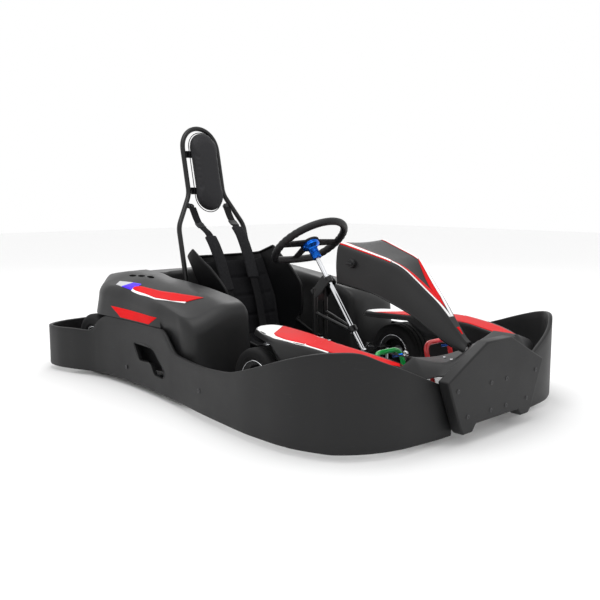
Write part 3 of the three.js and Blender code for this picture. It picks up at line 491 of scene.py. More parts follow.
def cutWith(made, tool):
    addModifier(made, "BOOLEAN", object=tool, operation="DIFFERENCE", solver="EXACT")
    applied(made)
    bpy.data.objects.remove(tool)
    return made


for side, label in sideNames.items():
    wall = bumperWall(f"bumperSide_{label}", side)
    cutWith(wall, prism("windowCut", bumper["window"], side * 560, side * 700))
    sharpEdges(wall, 40)
    plasticPiece(wall, "bumperPlastic", f"bumper_side_{label}")
    # a raised lip round the window
    loop = curveThrough(np.asarray(bumper["window"], float), 90, closed=True)
    outer = np.interp(loop[:, 0], *list(zip(*bumper["run"]))[:2])
    lipPath = toSide(np.stack([loop[:, 0], outer + 1.0, loop[:, 1]], -1), side)
    windowLip = sweep(f"windowLip_{label}", lipPath, (0, 1, 0), ringSection(2.4, 8), closed=True)
    plasticPiece(windowLip, "bumperPlastic")

section = wallSection(bumper["wall"], bumper["lip"])
rearPoints = np.empty((bumper["rearSteps"], len(section), 3))
rearPoints[..., 0] = bumper["rearX"] + section[:, 0]
rearPoints[..., 1] = np.linspace(bumper["rearHalf"], -bumper["rearHalf"], bumper["rearSteps"])[:, None]
rearRise = bumper["rearTop"] - bumper["bottom"]
rearPoints[..., 2] = bumper["bottom"] + section[:, 1] * rearRise + section[:, 2]
plasticPiece(gridObject("bumperRear", rearPoints, closeV=True, caps=True), "bumperPlastic", "bumper_rear")

panel = dict(
    front=1835, thickness=46, bevel=7,
    half=[(75, 338), (293, 229), (216, 52), (202, 36), (150, 36), (128, 62)],
)
panelOutline = panel["half"] + [(-y, z) for y, z in panel["half"][::-1]]
rings = [np.array([(x, y, z) for y, z in panelOutline], float)
         for x in (panel["front"] - panel["thickness"], panel["front"])]
frontPanel = gridObject("frontPanel", np.stack(rings), closeV=True, caps=True)
addModifier(frontPanel, "BEVEL", width=panel["bevel"] / 1000, segments=4, limit_method="ANGLE")
addModifier(applied(frontPanel), "WEIGHTED_NORMAL", keep_sharp=True)
plasticPiece(frontPanel, "bumperPlastic", "bumper_front_panel")
print("bumper ready")


# moulded covers
def moulded(name, shape, side):
    # rings laid on an outline: a leaning wall, a round shoulder, then a crown to the middle
    outline = curveThrough(shape["outline"], shape["steps"], closed=True)
    centre = np.asarray(shape["centre"], float)
    away = outline - centre
    reach = np.linalg.norm(away, axis=1)
    bottom = shape["bottom"](outline[:, 0], outline[:, 1])
    turn = np.linspace(0, math.pi / 2, 10)
    lean, shoulder = shape["lean"], shape["shoulder"]
    insets = np.concatenate([[0, lean * 0.35, lean * 0.7],
                             lean + shoulder * shape["squash"] * (1 - np.cos(turn))])
    drops = np.concatenate([[1, 1, 1], 1 - np.sin(turn)]) * shoulder
    fromFoot = np.concatenate([[1, 0.66, 0.33], np.zeros(10)])
    ringsIn = [outline - away * (np.minimum(i, reach * 0.94) / reach)[:, None] for i in insets]
    share = np.linspace(0, 1, 9)[1:]
    last = ringsIn[-1]
    ringsIn += [last + (centre - last) * s for s in share]
    drops = np.concatenate([drops, np.zeros(8)])
    fromFoot = np.concatenate([fromFoot, np.zeros(8)])
    plan = np.stack(ringsIn, 1)
    crown = shape["top"](plan[..., 0], plan[..., 1]) - drops[None, :]
    wallTop = crown[:, 3:4]
    heights = np.where(fromFoot > 0, bottom[:, None] * fromFoot + wallTop * (1 - fromFoot), crown)
    heights = np.maximum(heights, np.minimum(bottom[:, None], crown))
    points = np.concatenate([plan, heights[..., None]], -1)
    made = gridObject(name, toSide(points, side), closeU=True)
    addModifier(made, "SOLIDIFY", thickness=shape["wall"] / 1000, offset=-1.0, use_even_offset=False)
    return made


def sticker(name, edgeA, edgeB, side, target, way, finish, lift=0.9, drop=260, steps=40, rows=10):
    # a thin film between two edges, laid on a panel along one axis, then given a thickness
    a = evenSteps(np.asarray(edgeA, float), steps)
    b = evenSteps(np.asarray(edgeB, float), steps)
    share = np.linspace(0, 1, rows)[None, :, None]
    points = toSide(a[:, None] * (1 - share) + b[:, None] * share, side) - np.asarray(way) * drop
    made = newObject(name, place(points), gridFaces(steps, rows))
    axis = "xyz"[int(np.argmax(np.abs(way)))]
    forward = way["xyz".index(axis)] > 0
    addModifier(made, "SHRINKWRAP", wrap_method="PROJECT", target=target, offset=lift / 1000,
                use_project_x=axis == "x", use_project_y=axis == "y", use_project_z=axis == "z",
                use_positive_direction=forward, use_negative_direction=not forward)
    applied(made)
    # the film stops where the panel does
    spots = pointsOf(made)
    missed = np.linalg.norm(spots - place(points).reshape(-1, 3), axis=1) < 0.001
    faces = [face for face in facesOf(made) if not missed[face].any()]
    used = np.unique(faces)
    made.data.clear_geometry()
    made.data.from_pydata(spots[used].tolist(), [], np.searchsorted(used, faces).tolist())
    made.data.update()
    made.data.polygons.foreach_set("use_smooth", [True] * len(faces))
    normals = np.array([face.normal[:] for face in made.data.polygons])
    if np.mean(normals @ np.asarray(way, float)) > 0:
        made.data.flip_normals()
    addModifier(made, "SOLIDIFY", thickness=lift * 0.8 / 1000, offset=-1.0)
    return plasticPiece(made, finish)


def layFilm(name, edges, level, side, target, finish, layer):
    # edges of [x, y] pairs laid from above, each layer a little higher than the one before
    lifted = [[(x, y, level) for x, y in edge] for edge in edges]
    sticker(name, *lifted, side, target, (0, 0, -1), finish, lift=0.8 + 0.35 * layer)


pod = dict(
    outline=[(112, -606), (165, -608), (300, -604), (450, -606), (560, -610), (660, -606), (750, -608),
             (800, -610), (846, -594), (861, -552), (863, -450), (863, -350), (848, -308), (600, -305),
             (300, -305), (0, -305), (-200, -305), (-236, -330), (-170, -410), (-60, -500), (40, -578)],
    centre=(340, -440), steps=190, lean=16, shoulder=52, squash=1.1, wall=4,
    top=lambda x, y: np.interp(x, [-240, -60, 80, 260, 580, 760, 870], [425, 458, 478, 474, 436, 404, 380])
    - 52 * smoothStep(-y, 400, 610),
    bottom=lambda x, y: np.where((y < -560) & (x < 640), 295, np.where(x < 150, 302, 90)),
    vents=[(175, -462), (232, -450), (289, -438)], ventHalf=(26, 11),
)
podFilms = [
    ("podGrey", [(165, -524), (270, -514)], [(188, -558), (245, -562)], "stickerGrey"),
    ("podBlue", [(268, -514), (322, -505)], [(243, -562), (330, -556)], "stickerBlue"),
    ("podWhite", [(315, -543), (400, -530), (520, -512), (655, -480)],
     [(322, -560), (400, -564), (520, -564), (668, -514)], "stickerWhite"),
    ("podRed", [(312, -538), (333, -520), (474, -504), (584, -478), (698, -440)],
     [(320, -550), (344, -553), (508, -555), (600, -534), (664, -504)],
     "stickerRed"),
]
for side, label in sideNames.items():
    shell = applied(moulded(f"podShell_{label}", pod, side))
    smooth = newObject("podSkin", pointsOf(shell), facesOf(shell))
    for x, y in pod["vents"]:
        oval = ringSection(1, 24) * pod["ventHalf"] + [x, -side * y]
        rings = [np.column_stack([oval, np.full(len(oval), z)]) for z in (420, 520)]
        cutWith(shell, gridObject("ventCut", np.stack(rings), closeV=True, caps=True))
    plasticPiece(sharpEdges(shell, 50), "podPlastic", f"side_pod_{label}")
    for layer, (name, upper, lower, tint) in enumerate(podFilms):
        layFilm(f"{name}_{label}", (upper, lower), 420, side, smooth, tint, layer)
    sticker(f"podFlash_{label}", [(212, -600, 342), (590, -600, 332)], [(300, -600, 300), (540, -600, 299)],
            side, smooth, (0, -side, 0), "stickerRed")
    bpy.data.objects.remove(smooth)
print("pods ready")

deck = dict(
    outline=[(-236, -258), (-206, -288), (0, -288), (150, -285), (86, -190), (34, -80),
             (20, 0), (34, 80), (86, 190), (150, 285), (0, 288), (-206, 288), (-236, 258)],
    centre=(-110, 0), steps=130, lean=6, shoulder=26, squash=1.2, wall=4,
    top=lambda x, y: np.interp(x, [-240, -120, 150], [410, 450, 466]),
    bottom=lambda x, y: np.full(np.shape(x), 316.0),
)
plasticPiece(moulded("rearDeck", deck, -1), "podPlastic", "rear_deck")

cover = dict(
    outline=[(924, -326), (958, -384), (1060, -440), (1210, -496), (1400, -502), (1550, -474), (1650, -420),
             (1702, -352), (1682, -328), (1560, -336), (1440, -350), (1290, -324), (1135, -288),
             (1000, -264), (936, -276)],
    centre=(1330, -418), steps=140, lean=5, shoulder=15, squash=1.3, wall=3.5,
    top=lambda x, y: np.interp(x, [920, 1350, 1450, 1710], [312, 314, 304, 270]),
    bottom=lambda x, y: np.interp(x, [1180, 1260, 1720], [290, 215, 215]),
)
coverFilms = [
    ("coverWhite", [(934, -302), (948, -284), (1000, -275), (1135, -304), (1290, -344), (1420, -376)],
     [(945, -345), (985, -396), (1075, -440), (1190, -480), (1330, -492), (1470, -482)], "stickerWhite"),
    ("coverRed", [(1006, -272), (1135, -298), (1290, -335), (1440, -364), (1560, -350), (1682, -340)],
     [(1112, -414), (1160, -446), (1240, -470), (1380, -478), (1470, -470), (1550, -452), (1640, -410),
      (1694, -352)], "stickerRed"),
]
for side, label in sideNames.items():
    shell = moulded(f"wheelCover_{label}", cover, side)
    plasticPiece(shell, "podPlastic", f"front_cover_{label}")
    for layer, (name, inner, outer, tint) in enumerate(coverFilms):
        layFilm(f"{name}_{label}", (inner, outer), 300, side, shell, tint, layer)
print("covers ready")


# steering fairing and nose deck
fairing = dict(
    x=[1184, 1400, 1447, 1586, 1640, 1706],
    topZ=[634, 574, 548, 426, 364, 292], topHalf=[148, 97, 76, 30, 20, 12],
    lowX=[1184, 1371, 1522, 1645, 1706], lowZ=[500, 474, 404, 306, 272], lowHalf=[150, 140, 98, 50, 20],
    dish=7, belly=8, wall=4, steps=(61, 90),
)


def softInterp(x, xs, ys, blend=26):
    # straight spans between the stations, averaged over a short reach to round the corners
    offsets = np.linspace(-blend, blend, 9)
    return np.mean([np.interp(np.clip(x + o, xs[0], xs[-1]), xs, ys) for o in offsets], axis=0)


def fairingPoint(u, x):
    # u from 0 at the right lower edge to 1 at the left one: side, dished top, side
    topZ, topHalf = (softInterp(x, fairing["x"], fairing[k]) for k in ("topZ", "topHalf"))
    lowZ, lowHalf = (softInterp(x, fairing["lowX"], fairing[k]) for k in ("lowZ", "lowHalf"))
    knots = [0, 0.34, 0.66, 1]

    def across(values):
        blend = np.linspace(-0.018, 0.018, 5)
        return np.mean([sum(np.clip(1 - np.abs(np.clip(u + b, 0, 1) - k) / (0.34 if k in (0, 1) else 0.33),
                                    0, 1) * v
                            for k, v in zip(knots, values)) for b in blend], axis=0)

    y = across([-lowHalf, -topHalf, topHalf, lowHalf])
    z = across([lowZ, topZ, topZ, lowZ])
    span = np.clip((u - 0.36) / 0.28, 0, 1)
    z = z - fairing["dish"] * np.sin(span * math.pi) * smoothStep(-x, -1640, -1500)
    sideShare = np.clip(np.minimum(u, 1 - u) / 0.34, 0, 1)
    y = y + np.sign(u - 0.5) * fairing["belly"] * np.sin(sideShare * math.pi)
    return np.stack([x + 0 * u, y, z], -1)


uGrid, xGrid = np.meshgrid(np.linspace(0, 1, fairing["steps"][0]),
                           np.linspace(1184, 1706, fairing["steps"][1]), indexing="ij")
fairingShell = gridObject("fairing", fairingPoint(uGrid, xGrid))
addModifier(fairingShell, "SOLIDIFY", thickness=fairing["wall"] / 1000, offset=-1.0)
addModifier(fairingShell, "BEVEL", width=0.0012, segments=2, limit_method="ANGLE", angle_limit=1.0)
plasticPiece(fairingShell, "podPlastic", "nassau_panel")


def fairingFilm(name, edgeA, edgeB, finish, steps=46, rows=7, lift=0.9, underside=0.15):
    # a film whose edges are [u, x] pairs on the fairing, raised along the face's normal
    a, b = (evenSteps(np.asarray(e, float) * [1000, 1], steps) / [1000, 1] for e in (edgeA, edgeB))
    share = np.linspace(0, 1, rows)[None, :, None]
    spots = a[:, None] * (1 - share) + b[:, None] * share
    u, x = spots[..., 0], spots[..., 1]
    points = fairingPoint(u, x)
    du, dx = fairingPoint(u + 1e-3, x) - points, fairingPoint(u, x + 0.5) - points
    normal = unit(np.cross(dx, du))
    normal *= np.sign(normal[..., 2:] + 1e-9)
    top, base = (points + normal * height for height in (lift, underside))
    ring = np.concatenate([top, base[:, ::-1]], 1)
    made = gridObject(name, ring, closeV=True, caps=True)
    return plasticPiece(made, finish)


fairingFilms = [
    ("fairingLine", [(0.350, 1186), (0.352, 1404)], [(0.372, 1186), (0.37, 1404)], "stickerWhite"),
    ("fairingLineEdgeOuter", [(0.343, 1186), (0.346, 1404)], [(0.349, 1186), (0.351, 1404)], "stickerRed"),
    ("fairingLineEdgeInner", [(0.373, 1186), (0.371, 1404)], [(0.379, 1186), (0.376, 1404)], "stickerRed"),
    ("fairingArmWhite", [(0.352, 1406), (0.36, 1460), (0.37, 1560), (0.4, 1625)],
     [(0.362, 1406), (0.385, 1460), (0.42, 1560), (0.5, 1625)], "stickerWhite"),
    ("fairingArmRed", [(0.363, 1408), (0.388, 1460), (0.425, 1556), (0.498, 1600)],
     [(0.372, 1408), (0.425, 1460), (0.497, 1530), (0.498, 1540)], "stickerRed"),
]
for side, label in sideNames.items():
    for name, edgeA, edgeB, finish in fairingFilms:
        edges = [[(u if side < 0 else 1 - u, x) for u, x in edge] for edge in (edgeA, edgeB)]
        fairingFilm(f"{name}_{label}", *edges, finish)
fairingFilm("fairingTip", [(0.42, 1655), (0.47, 1676)], [(0.58, 1655), (0.53, 1676)], "stickerRed")

noseDeck = dict(
    rear=1600, front=1787, wall=4, bowHalf=316, rearZ=246, bow=52, droop=100, frontZ=324, flatHalf=75,
    slope=0.5,
    half=[(1600, 316), (1703, 317), (1709, 398), (1742, 398), (1750, 350), (1758, 296), (1768, 262),
          (1787, 244)],
)
deckX, deckY = np.meshgrid(np.linspace(noseDeck["rear"], noseDeck["front"], 95), np.linspace(-1, 1, 90),
                           indexing="ij")
deckY = deckY * np.interp(deckX, *zip(*noseDeck["half"]))
deckReach = np.abs(deckY) / noseDeck["bowHalf"]
deckRearZ = (noseDeck["rearZ"] + noseDeck["bow"] * np.minimum(deckReach, 1) ** 2
             - noseDeck["droop"] * np.maximum(deckReach - 1, 0))
deckFrontZ = noseDeck["frontZ"] - np.maximum(np.abs(deckY) - noseDeck["flatHalf"], 0) * noseDeck["slope"]
deckPlate = gridObject("noseDeck", np.stack(
    [deckX, deckY, deckRearZ + (deckFrontZ - deckRearZ) * smoothStep(deckX, 1700, noseDeck["front"])], -1))
addModifier(deckPlate, "SOLIDIFY", thickness=noseDeck["wall"] / 1000, offset=0.0)
plasticPiece(deckPlate, "podPlastic", "nose_deck")
print("fairing ready")

# seat
seat = dict(
    run=[(262, 540), (304, 452), (382, 300), (428, 170), (500, 100), (640, 84), (760, 104), (816, 138)],
    half=([0, 0.35, 0.6, 1], [244, 222, 208, 188]),
    depth=([0, 0.15, 0.3, 0.5, 0.7, 1], [92, 165, 218, 160, 145, 62]),
    wall=6, bend=0.66, padGap=8, padThickness=16, rimSteps=60,
)
seatLine = curveThrough(seat["run"], 400)
seatWay = unit(np.gradient(seatLine, axis=0))


def seatFace(u, v):
    # a bucket: the middle line, bent forward into wings whose depth changes down the seat
    across = 2 * u - 1
    steps = np.linspace(0, 1, len(seatLine))
    middle = [np.interp(v, steps, seatLine[:, k]) for k in (0, 1)]
    way = [np.interp(v, steps, seatWay[:, k]) for k in (0, 1)]
    reach = np.minimum(np.abs(across) / seat["bend"], 1)
    rise = np.maximum(np.abs(across) - seat["bend"], 0) / (1 - seat["bend"])
    half, depth = np.interp(v, *seat["half"]), np.interp(v, *seat["depth"])
    y = np.sign(across) * half * (0.9 * np.sin(reach * math.pi / 2) + 0.1 * rise)
    lift = depth * (0.16 * reach ** 3 + 0.84 * rise * (0.75 + 0.25 * rise))
    return np.stack([middle[0] - way[1] * lift, y, middle[1] + way[0] * lift], -1)


seatU, seatV = np.meshgrid(np.linspace(0, 1, 81), np.linspace(0, 1, 90), indexing="ij")
seatShell = gridObject("seatShell", seatFace(seatU, seatV))
addModifier(seatShell, "SOLIDIFY", thickness=seat["wall"] / 1000, offset=1.0)
addModifier(seatShell, "BEVEL", width=0.002, segments=3, limit_method="ANGLE", angle_limit=1.0)
plasticPiece(seatShell, "seatPlastic", "seat_shell")
out, flat = np.linspace(0, 1, seat["rimSteps"]), np.zeros(seat["rimSteps"])
rimRun = np.vstack([seatFace(out, flat), seatFace(flat + 1, out)[1:], seatFace(out[::-1], flat + 1)[1:],
                    seatFace(flat, out[::-1])[1:-1]])
seatRim = sweep("seatRim", evenSteps(np.vstack([rimRun, rimRun[:1]]), 260, closed=True), (0.6, 0.02, 0.8),
                ringSection(6.5, 12), closed=True)
plasticPiece(seatRim, "seatPlastic")

padU, padV = np.meshgrid(np.linspace(0, 1, 61), np.linspace(0, 1, 120), indexing="ij")
overSeat, downSeat = 0.16 + 0.68 * padU, 0.04 + 0.91 * padV
base = seatFace(overSeat, downSeat)
du = seatFace(overSeat + 1e-3, downSeat) - seatFace(overSeat - 1e-3, downSeat)
dv = seatFace(overSeat, downSeat + 1e-3) - seatFace(overSeat, downSeat - 1e-3)
inwardNormal = -unit(np.cross(du, dv))
# the filling thins to the pad's edges and in the stitched channels across and along it
edgeFade = np.sqrt(np.clip(1 - (2 * padU - 1) ** 6, 0, 1) * np.clip(1 - (2 * padV - 1) ** 12, 0, 1))
channels = 1 - 0.5 * np.exp(-((np.mod(padV * 8 + 0.5, 1) - 0.5) / 0.07) ** 2)
channels *= 1 - 0.45 * np.exp(-((np.abs(padU - 0.5) - 0.26) / 0.02) ** 2)
fill = seat["padThickness"] * (0.25 + 0.75 * edgeFade * channels)
padTop, padBase = base + inwardNormal * (seat["padGap"] + fill[...,
                                                               None]), base + inwardNormal * seat["padGap"]
padRing = np.concatenate([padTop, padBase[:, ::-1]], 1)
seatPad = gridObject("seatPad", padRing, closeV=True, caps=True)
finishPiece(seatPad, "chassis", "fabric", "upholstery", "seat_pad")
print("seat ready")

# hoop and head pad
hoop = dict(radius=12, waistY=104, waist=(120, 836), topZ=1172, lean=0.212, legRise=156, legRun=45,
            legSpread=94,
            tabZ=784)
legRight = [(276, -270, 74), (276, -270, 150), (228, -204, 430), (165, -198, 680), (120, -104, 836)]
arcTurn = np.linspace(0, math.pi, 15)
arcZ = hoop["topZ"] - hoop["waistY"] - hoop["radius"] + hoop["waistY"] * np.sin(arcTurn)
arc = np.stack([hoop["waist"][0] - (arcZ - hoop["waist"][1]) * hoop["lean"],
                -hoop["waistY"] * np.cos(arcTurn), arcZ], -1)
hoopPath = np.vstack([legRight, arc, [(x, -y, z) for x, y, z in legRight[::-1]]])
hoopTube = sweep("hoopTube", bentRun(hoopPath, 30, 7), (1, 0, 0.2), ringSection(hoop["radius"], 20))
tabs = []
down = (hoop["waist"][1] - hoop["tabZ"]) / hoop["legRise"]
tabX, tabZ = hoop["waist"][0] + down * hoop["legRun"], hoop["tabZ"]
tabY = hoop["waistY"] + down * hoop["legSpread"]
for side in (-1, 1):
    tabRun = [(tabX, side * tabY, tabZ), (tabX + 3, side * (tabY - 20), tabZ - 5),
              (tabX + 4, side * (tabY - 38), tabZ - 8)]
    tabs += [sweep("tab", tabRun, (1, 0, 0.2), roundedSection(26, 7, 3)),
             turnedPart("eye", [(0, -9), (9, -9), (10, -8), (10, 6), (8, 9), (0, 9)],
                        (tabX + 4, side * (tabY - 34), tabZ - 8), (0.978, 0, 0.208), 20)]
finishPiece(joinedPieces("hoopAssembly", [hoopTube, *tabs]), "chassis", "black_steel", "blackTube",
            "roll_hoop")

headPad = dict(half=198, width=158, thickness=54, height=940, voxel=0.0055, frames=14, cap=0.006)
tilt = math.atan(hoop["lean"])
padOut = np.array([math.cos(tilt), 0, math.sin(tilt)])         # away from the hoop, to the driver
padUp = np.array([-math.sin(tilt), 0, math.cos(tilt)])
padMiddle = np.array([hoop["waist"][0] - (headPad["height"] - hoop["waist"][1]) * hoop["lean"], 0,
                      headPad["height"]])


def capsule(radius, turn):
    # across and up: two half circles with a straight run between
    straight = headPad["half"] - headPad["width"] / 2
    return radius * np.cos(turn), radius * np.sin(turn) + np.sign(np.sin(turn)) * straight


def headPadShape(name, shrink):
    # a capsule outline with a crowned front, a flat back and round edges
    outY, outZ = capsule(headPad["width"] / 2 - shrink, fullTurn(96))
    depth = headPad["thickness"] - shrink
    rings = [(0, 2), (0.75, 2), (0.93, 4), (0.99, 12), (1.0, depth * 0.45), (0.985, depth * 0.66),
             (0.93, depth * 0.84), (0.8, depth * 0.95), (0.5, depth), (0, depth)]
    centre = padMiddle + padOut * 3.4
    points = np.stack([centre + np.outer(outY * share, (0, 1, 0)) + np.outer(outZ * share, padUp)
                       + padOut * out for share, out in rings], 1)
    return gridObject(name, points, closeU=True)


headCushion = headPadShape("headCushion", 3)
# the filled cover is blown out by pressure, each point moving no further than the cap
addModifier(headCushion, "REMESH", mode="VOXEL", voxel_size=headPad["voxel"], use_smooth_shade=True)
applied(headCushion)
start = pointsOf(headCushion)
cloth = addModifier(headCushion, "CLOTH")
cloth.settings.use_pressure = True
cloth.settings.uniform_pressure_force = 4.0
cloth.settings.effector_weights.gravity = 0.0
for step in range(1, headPad["frames"] + 1):
    bpy.context.scene.frame_set(step)
applied(headCushion)
shift = pointsOf(headCushion) - start
shift *= np.minimum(1, headPad["cap"] / (np.linalg.norm(shift, axis=1, keepdims=True) + 1e-9))
headCushion.data.vertices.foreach_set("co", (start + shift).ravel())
headCushion.data.update()
bpy.context.scene.frame_set(1)
addModifier(headCushion, "SUBSURF", levels=1, render_levels=1)
finishPiece(headCushion, "chassis", "fabric", "headPadSkin", "headrest_pad")
pipeY, pipeZ = capsule(headPad["width"] / 2 + 0.5, fullTurn(120))
pipePath = padMiddle + padOut * 17 + np.outer(pipeY, (0, 1, 0)) + np.outer(pipeZ, padUp)
finishPiece(sweep("headPadPiping", pipePath, tuple(padOut), ringSection(2.2, 8), closed=True), "chassis",
            "fabric", "webbing")
print("head pad ready")


# harness
def ribbon(name, route, widths, thicknesses, finish, up=(0, 1, 0), steps=160):
    # a flat strap along a route: an oval section whose width and thickness change along it
    path = curveThrough(route, steps)
    share = np.linspace(0, 1, steps)
    width, thick = (np.interp(share, *w) for w in (widths, thicknesses))
    way = unit(np.gradient(path, axis=0))
    across = unit(np.broadcast_to(up, way.shape) - way * (way @ np.asarray(up, float))[:, None])
    out = np.cross(way, across)
    cosine, sine = ringSection(1, 24).T
    squareC = np.sign(cosine) * np.abs(cosine) ** 0.35
    squareS = np.sign(sine) * np.abs(sine) ** 0.7
    points = (path[:, None] + across[:, None] * (width[:, None, None] / 2 * squareC[None, :, None])
              + out[:, None] * (thick[:, None, None] / 2 * squareS[None, :, None]))
    made = gridObject(name, points, closeV=True, caps=True)
    uv = made.data.uv_layers.new(name="UVMap")
    loops = np.empty(len(made.data.loops), int)
    made.data.loops.foreach_get("vertex_index", loops)
    spots = pointsOf(made)[loops]
    nearest = np.argmin(((spots[:, None] - place(path)[None]) ** 2).sum(-1), axis=1)
    reach = nearest / steps * np.linalg.norm(np.diff(place(path), axis=0), axis=1).sum()
    uv.data.foreach_set("uv", np.stack([spots[:, 1], reach], -1).ravel())
    return finishPiece(made, "chassis", "fabric", finish)


belts = dict(web=42, pad=64, webThick=3.2, padThick=15)
overShoulder = {-1: [(142, 104, 766), (186, 98, 690), (262, 94, 640)],
                1: [(142, 104, 766), (190, 98, 704), (258, 94, 650)]}
overChest = [(318, 90, 560), (372, 86, 440), (424, 80, 320), (470, 66, 214), (520, 46, 150), (566, 26, 134)]
padSpans = {-1: (0.24, 0.62), 1: (0.17, 0.54)}
for side, label in sideNames.items():
    shifted = [(x + 5, side * y, z + 5) for x, y, z in overShoulder[side] + overChest]
    web = ribbon(f"shoulderWeb_{label}", shifted, ([0, 1], [belts["web"]] * 2),
                 ([0, 1], [belts["webThick"]] * 2), "webbing")
    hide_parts(f"shoulder_belt_{label}")
    dense = curveThrough(shifted, 200)
    low, high = (int(s * 200) for s in padSpans[side])
    sleeve = ribbon(f"shoulderPad_{label}", dense[low:high:12],
                    ([0, 0.015, 0.985, 1], [50, belts["pad"], belts["pad"], 50]),
                    ([0, 0.02, 0.98, 1], [5, belts["padThick"], belts["padThick"], 5]), "sleeveCloth")
    ribbon(f"beltAdjuster_{label}", dense[22:31:4], ([0, 1], [50, 50]), ([0, 1], [7, 7]), "blackTube",
           steps=20)
    lap = ribbon(f"lapWeb_{label}", [(536, side * 172, 182), (560, side * 130, 154), (584, side * 84, 132),
                                     (594, side * 32, 124)],
                 ([0, 1], [40, 40]), ([0, 1], [4, 4]), "webbing", up=(1, 0, 0.1))
    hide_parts(f"lap_belt_{label}")
buckle = turnedPart("buckle", [(0, -9), (24, -9), (27, -6), (27, 4), (24, 8), (17, 9), (16, 7), (0, 7)],
                    (596, 0, 138), (0, 0, 1), 40)
finishPiece(sharpEdges(buckle), "chassis", "bright_steel", "brushedSteel", "belt_buckle")
print("harness ready")

# steering
steer = dict(centre=(873, 0, 626), angle=math.radians(53), rim=163, grip=16, flat=118, length=527)
wheelUp = np.array([-math.cos(steer["angle"]), 0, math.sin(steer["angle"])])
wheelAhead = np.array([math.sin(steer["angle"]), 0, math.cos(steer["angle"])])


def onColumn(local):
    local = np.asarray(local, float)
    return (np.asarray(steer["centre"], float) + local[..., :1] * wheelAhead
            + local[..., 1:2] * np.array([0, 1, 0]) + local[..., 2:3] * wheelUp)


turn = fullTurn(240)
ringX, ringY = steer["rim"] * np.cos(turn), steer["rim"] * np.sin(turn)
ringX = np.where(ringX < -steer["flat"], ringX - (ringX + steer["flat"]) * 0.82, ringX)
fingers = 1 + 0.05 * np.sin(turn * 40) * smoothStep(np.abs(np.sin(turn)), 0.7, 0.9)
rim = sweep("gripRim", onColumn(np.stack([ringX, ringY, np.zeros(240)], -1)), tuple(wheelUp),
            ringSection(steer["grip"], 20),
            grow=fingers, closed=True)
spokes = []
share = np.linspace(0.12, 1, 24)
for endX, endY in ((-2, 159), (-2, -159), (-120, 0)):
    path = onColumn(np.stack([endX * share, endY * share, 3 - 2 * share], -1))
    spokes.append(sweep("spoke", path, tuple(wheelUp), roundedSection(40, 12, 5), grow=1.12 - 0.25 * share))
plate = turnedPart("plate", [(0, -2), (42, -2), (43, 0), (43, 6), (41, 8), (30, 8), (28, 5), (0, 5)],
                   onColumn([0, 0, 0]), wheelUp, 48)
steeringWheel = joinedPieces("steeringWheel", [rim, *spokes, plate])
finishPiece(sharpEdges(steeringWheel), "steering_column", "black_rubber", "gripRubber", "steering_wheel")

hubProfile = [(0, -0.5), (36, -0.5), (38, -2.5), (38, -8), (36.5, -9.5), (38, -11), (38, -17), (35, -20),
              (26, -25), (22, -28), (20.5, -32), (20.5, -40), (19, -41), (20.5, -42), (20.5, -50),
              (19, -51), (20.5, -52), (20, -74), (18, -78), (0, -78)]
hub = turnedPart("columnHub", hubProfile, onColumn([0, 0, 0]), wheelUp, 56)
finishPiece(sharpEdges(hub, 25), "steering_column", "blue_alloy", "blueAnodised", "steering_hub")
shaftRod = turnedPart("shaft", [(0, -78.5), (9, -78.5), (10, -80), (10, -steer["length"]),
                                (0, -steer["length"])],
                      onColumn([0, 0, 0]), wheelUp, 32)
pitman = sweep("pitman", onColumn(np.stack([np.linspace(10, -52, 12), np.zeros(12),
                                            np.full(12, -steer["length"] - 2.5)], -1)),
               tuple(wheelUp), roundedSection(16, 7, 3))
finishPiece(sharpEdges(joinedPieces("shaftAndPitman", [shaftRod, pitman])), "steering_column",
            "bright_steel",
            "chromeSteel", "steering_shaft")
print("steering ready")

# column support
post = dict(x=938, y=30, top=440, foot=45, tube=11)
upper, lower = onColumn([0, 0, -190]), onColumn([0, 0, -430])
supports = [
    turnedPart("ring", [(10.8, -13), (17, -13), (19, -11), (19, 11), (17, 13), (10.8, 13)], at, wheelUp,
               32) for at in (upper, lower)
]
for side in (-1, 1):
    y = side * post["y"]
    supports += [
        tube("post", [(post["x"], y, post["foot"]), (post["x"], y, post["top"])], post["tube"],
             up=(1, 0, 0)),
        tube("brace", [(post["x"], y, post["top"] - 4), (upper[0] - 8, side * 13, upper[2] - 4)], 8,
             up=(0, 1, 0)),
        tube("strut", [(post["x"], y, 335), (lower[0] - 4, side * 12, lower[2] - 2)], 7, up=(0, 1, 0)),
        sweep("cheek", [(post["x"] - 4, side * 38, 412), (post["x"] + 20, side * 32, 434),
                        (upper[0] + 6, side * 23, upper[2] + 8)],
              (0, 1, 0), roundedSection(46, 5, 2)),
    ]
supports.append(sweep("plate", np.linspace((post["x"], -34, 410), (post["x"], 34, 410), 6), (0, 0, 1),
                      roundedSection(8, 56, 3)))
supports.append(sweep("foot", np.linspace((post["x"], -46, 45.6), (post["x"], 46, 45.6), 6), (0, 0, 1),
                      roundedSection(60, 4.4, 1.8)))
finishPiece(sharpEdges(joinedPieces("columnStand", supports)), "chassis", "black_steel", "blackTube",
            "column_support")

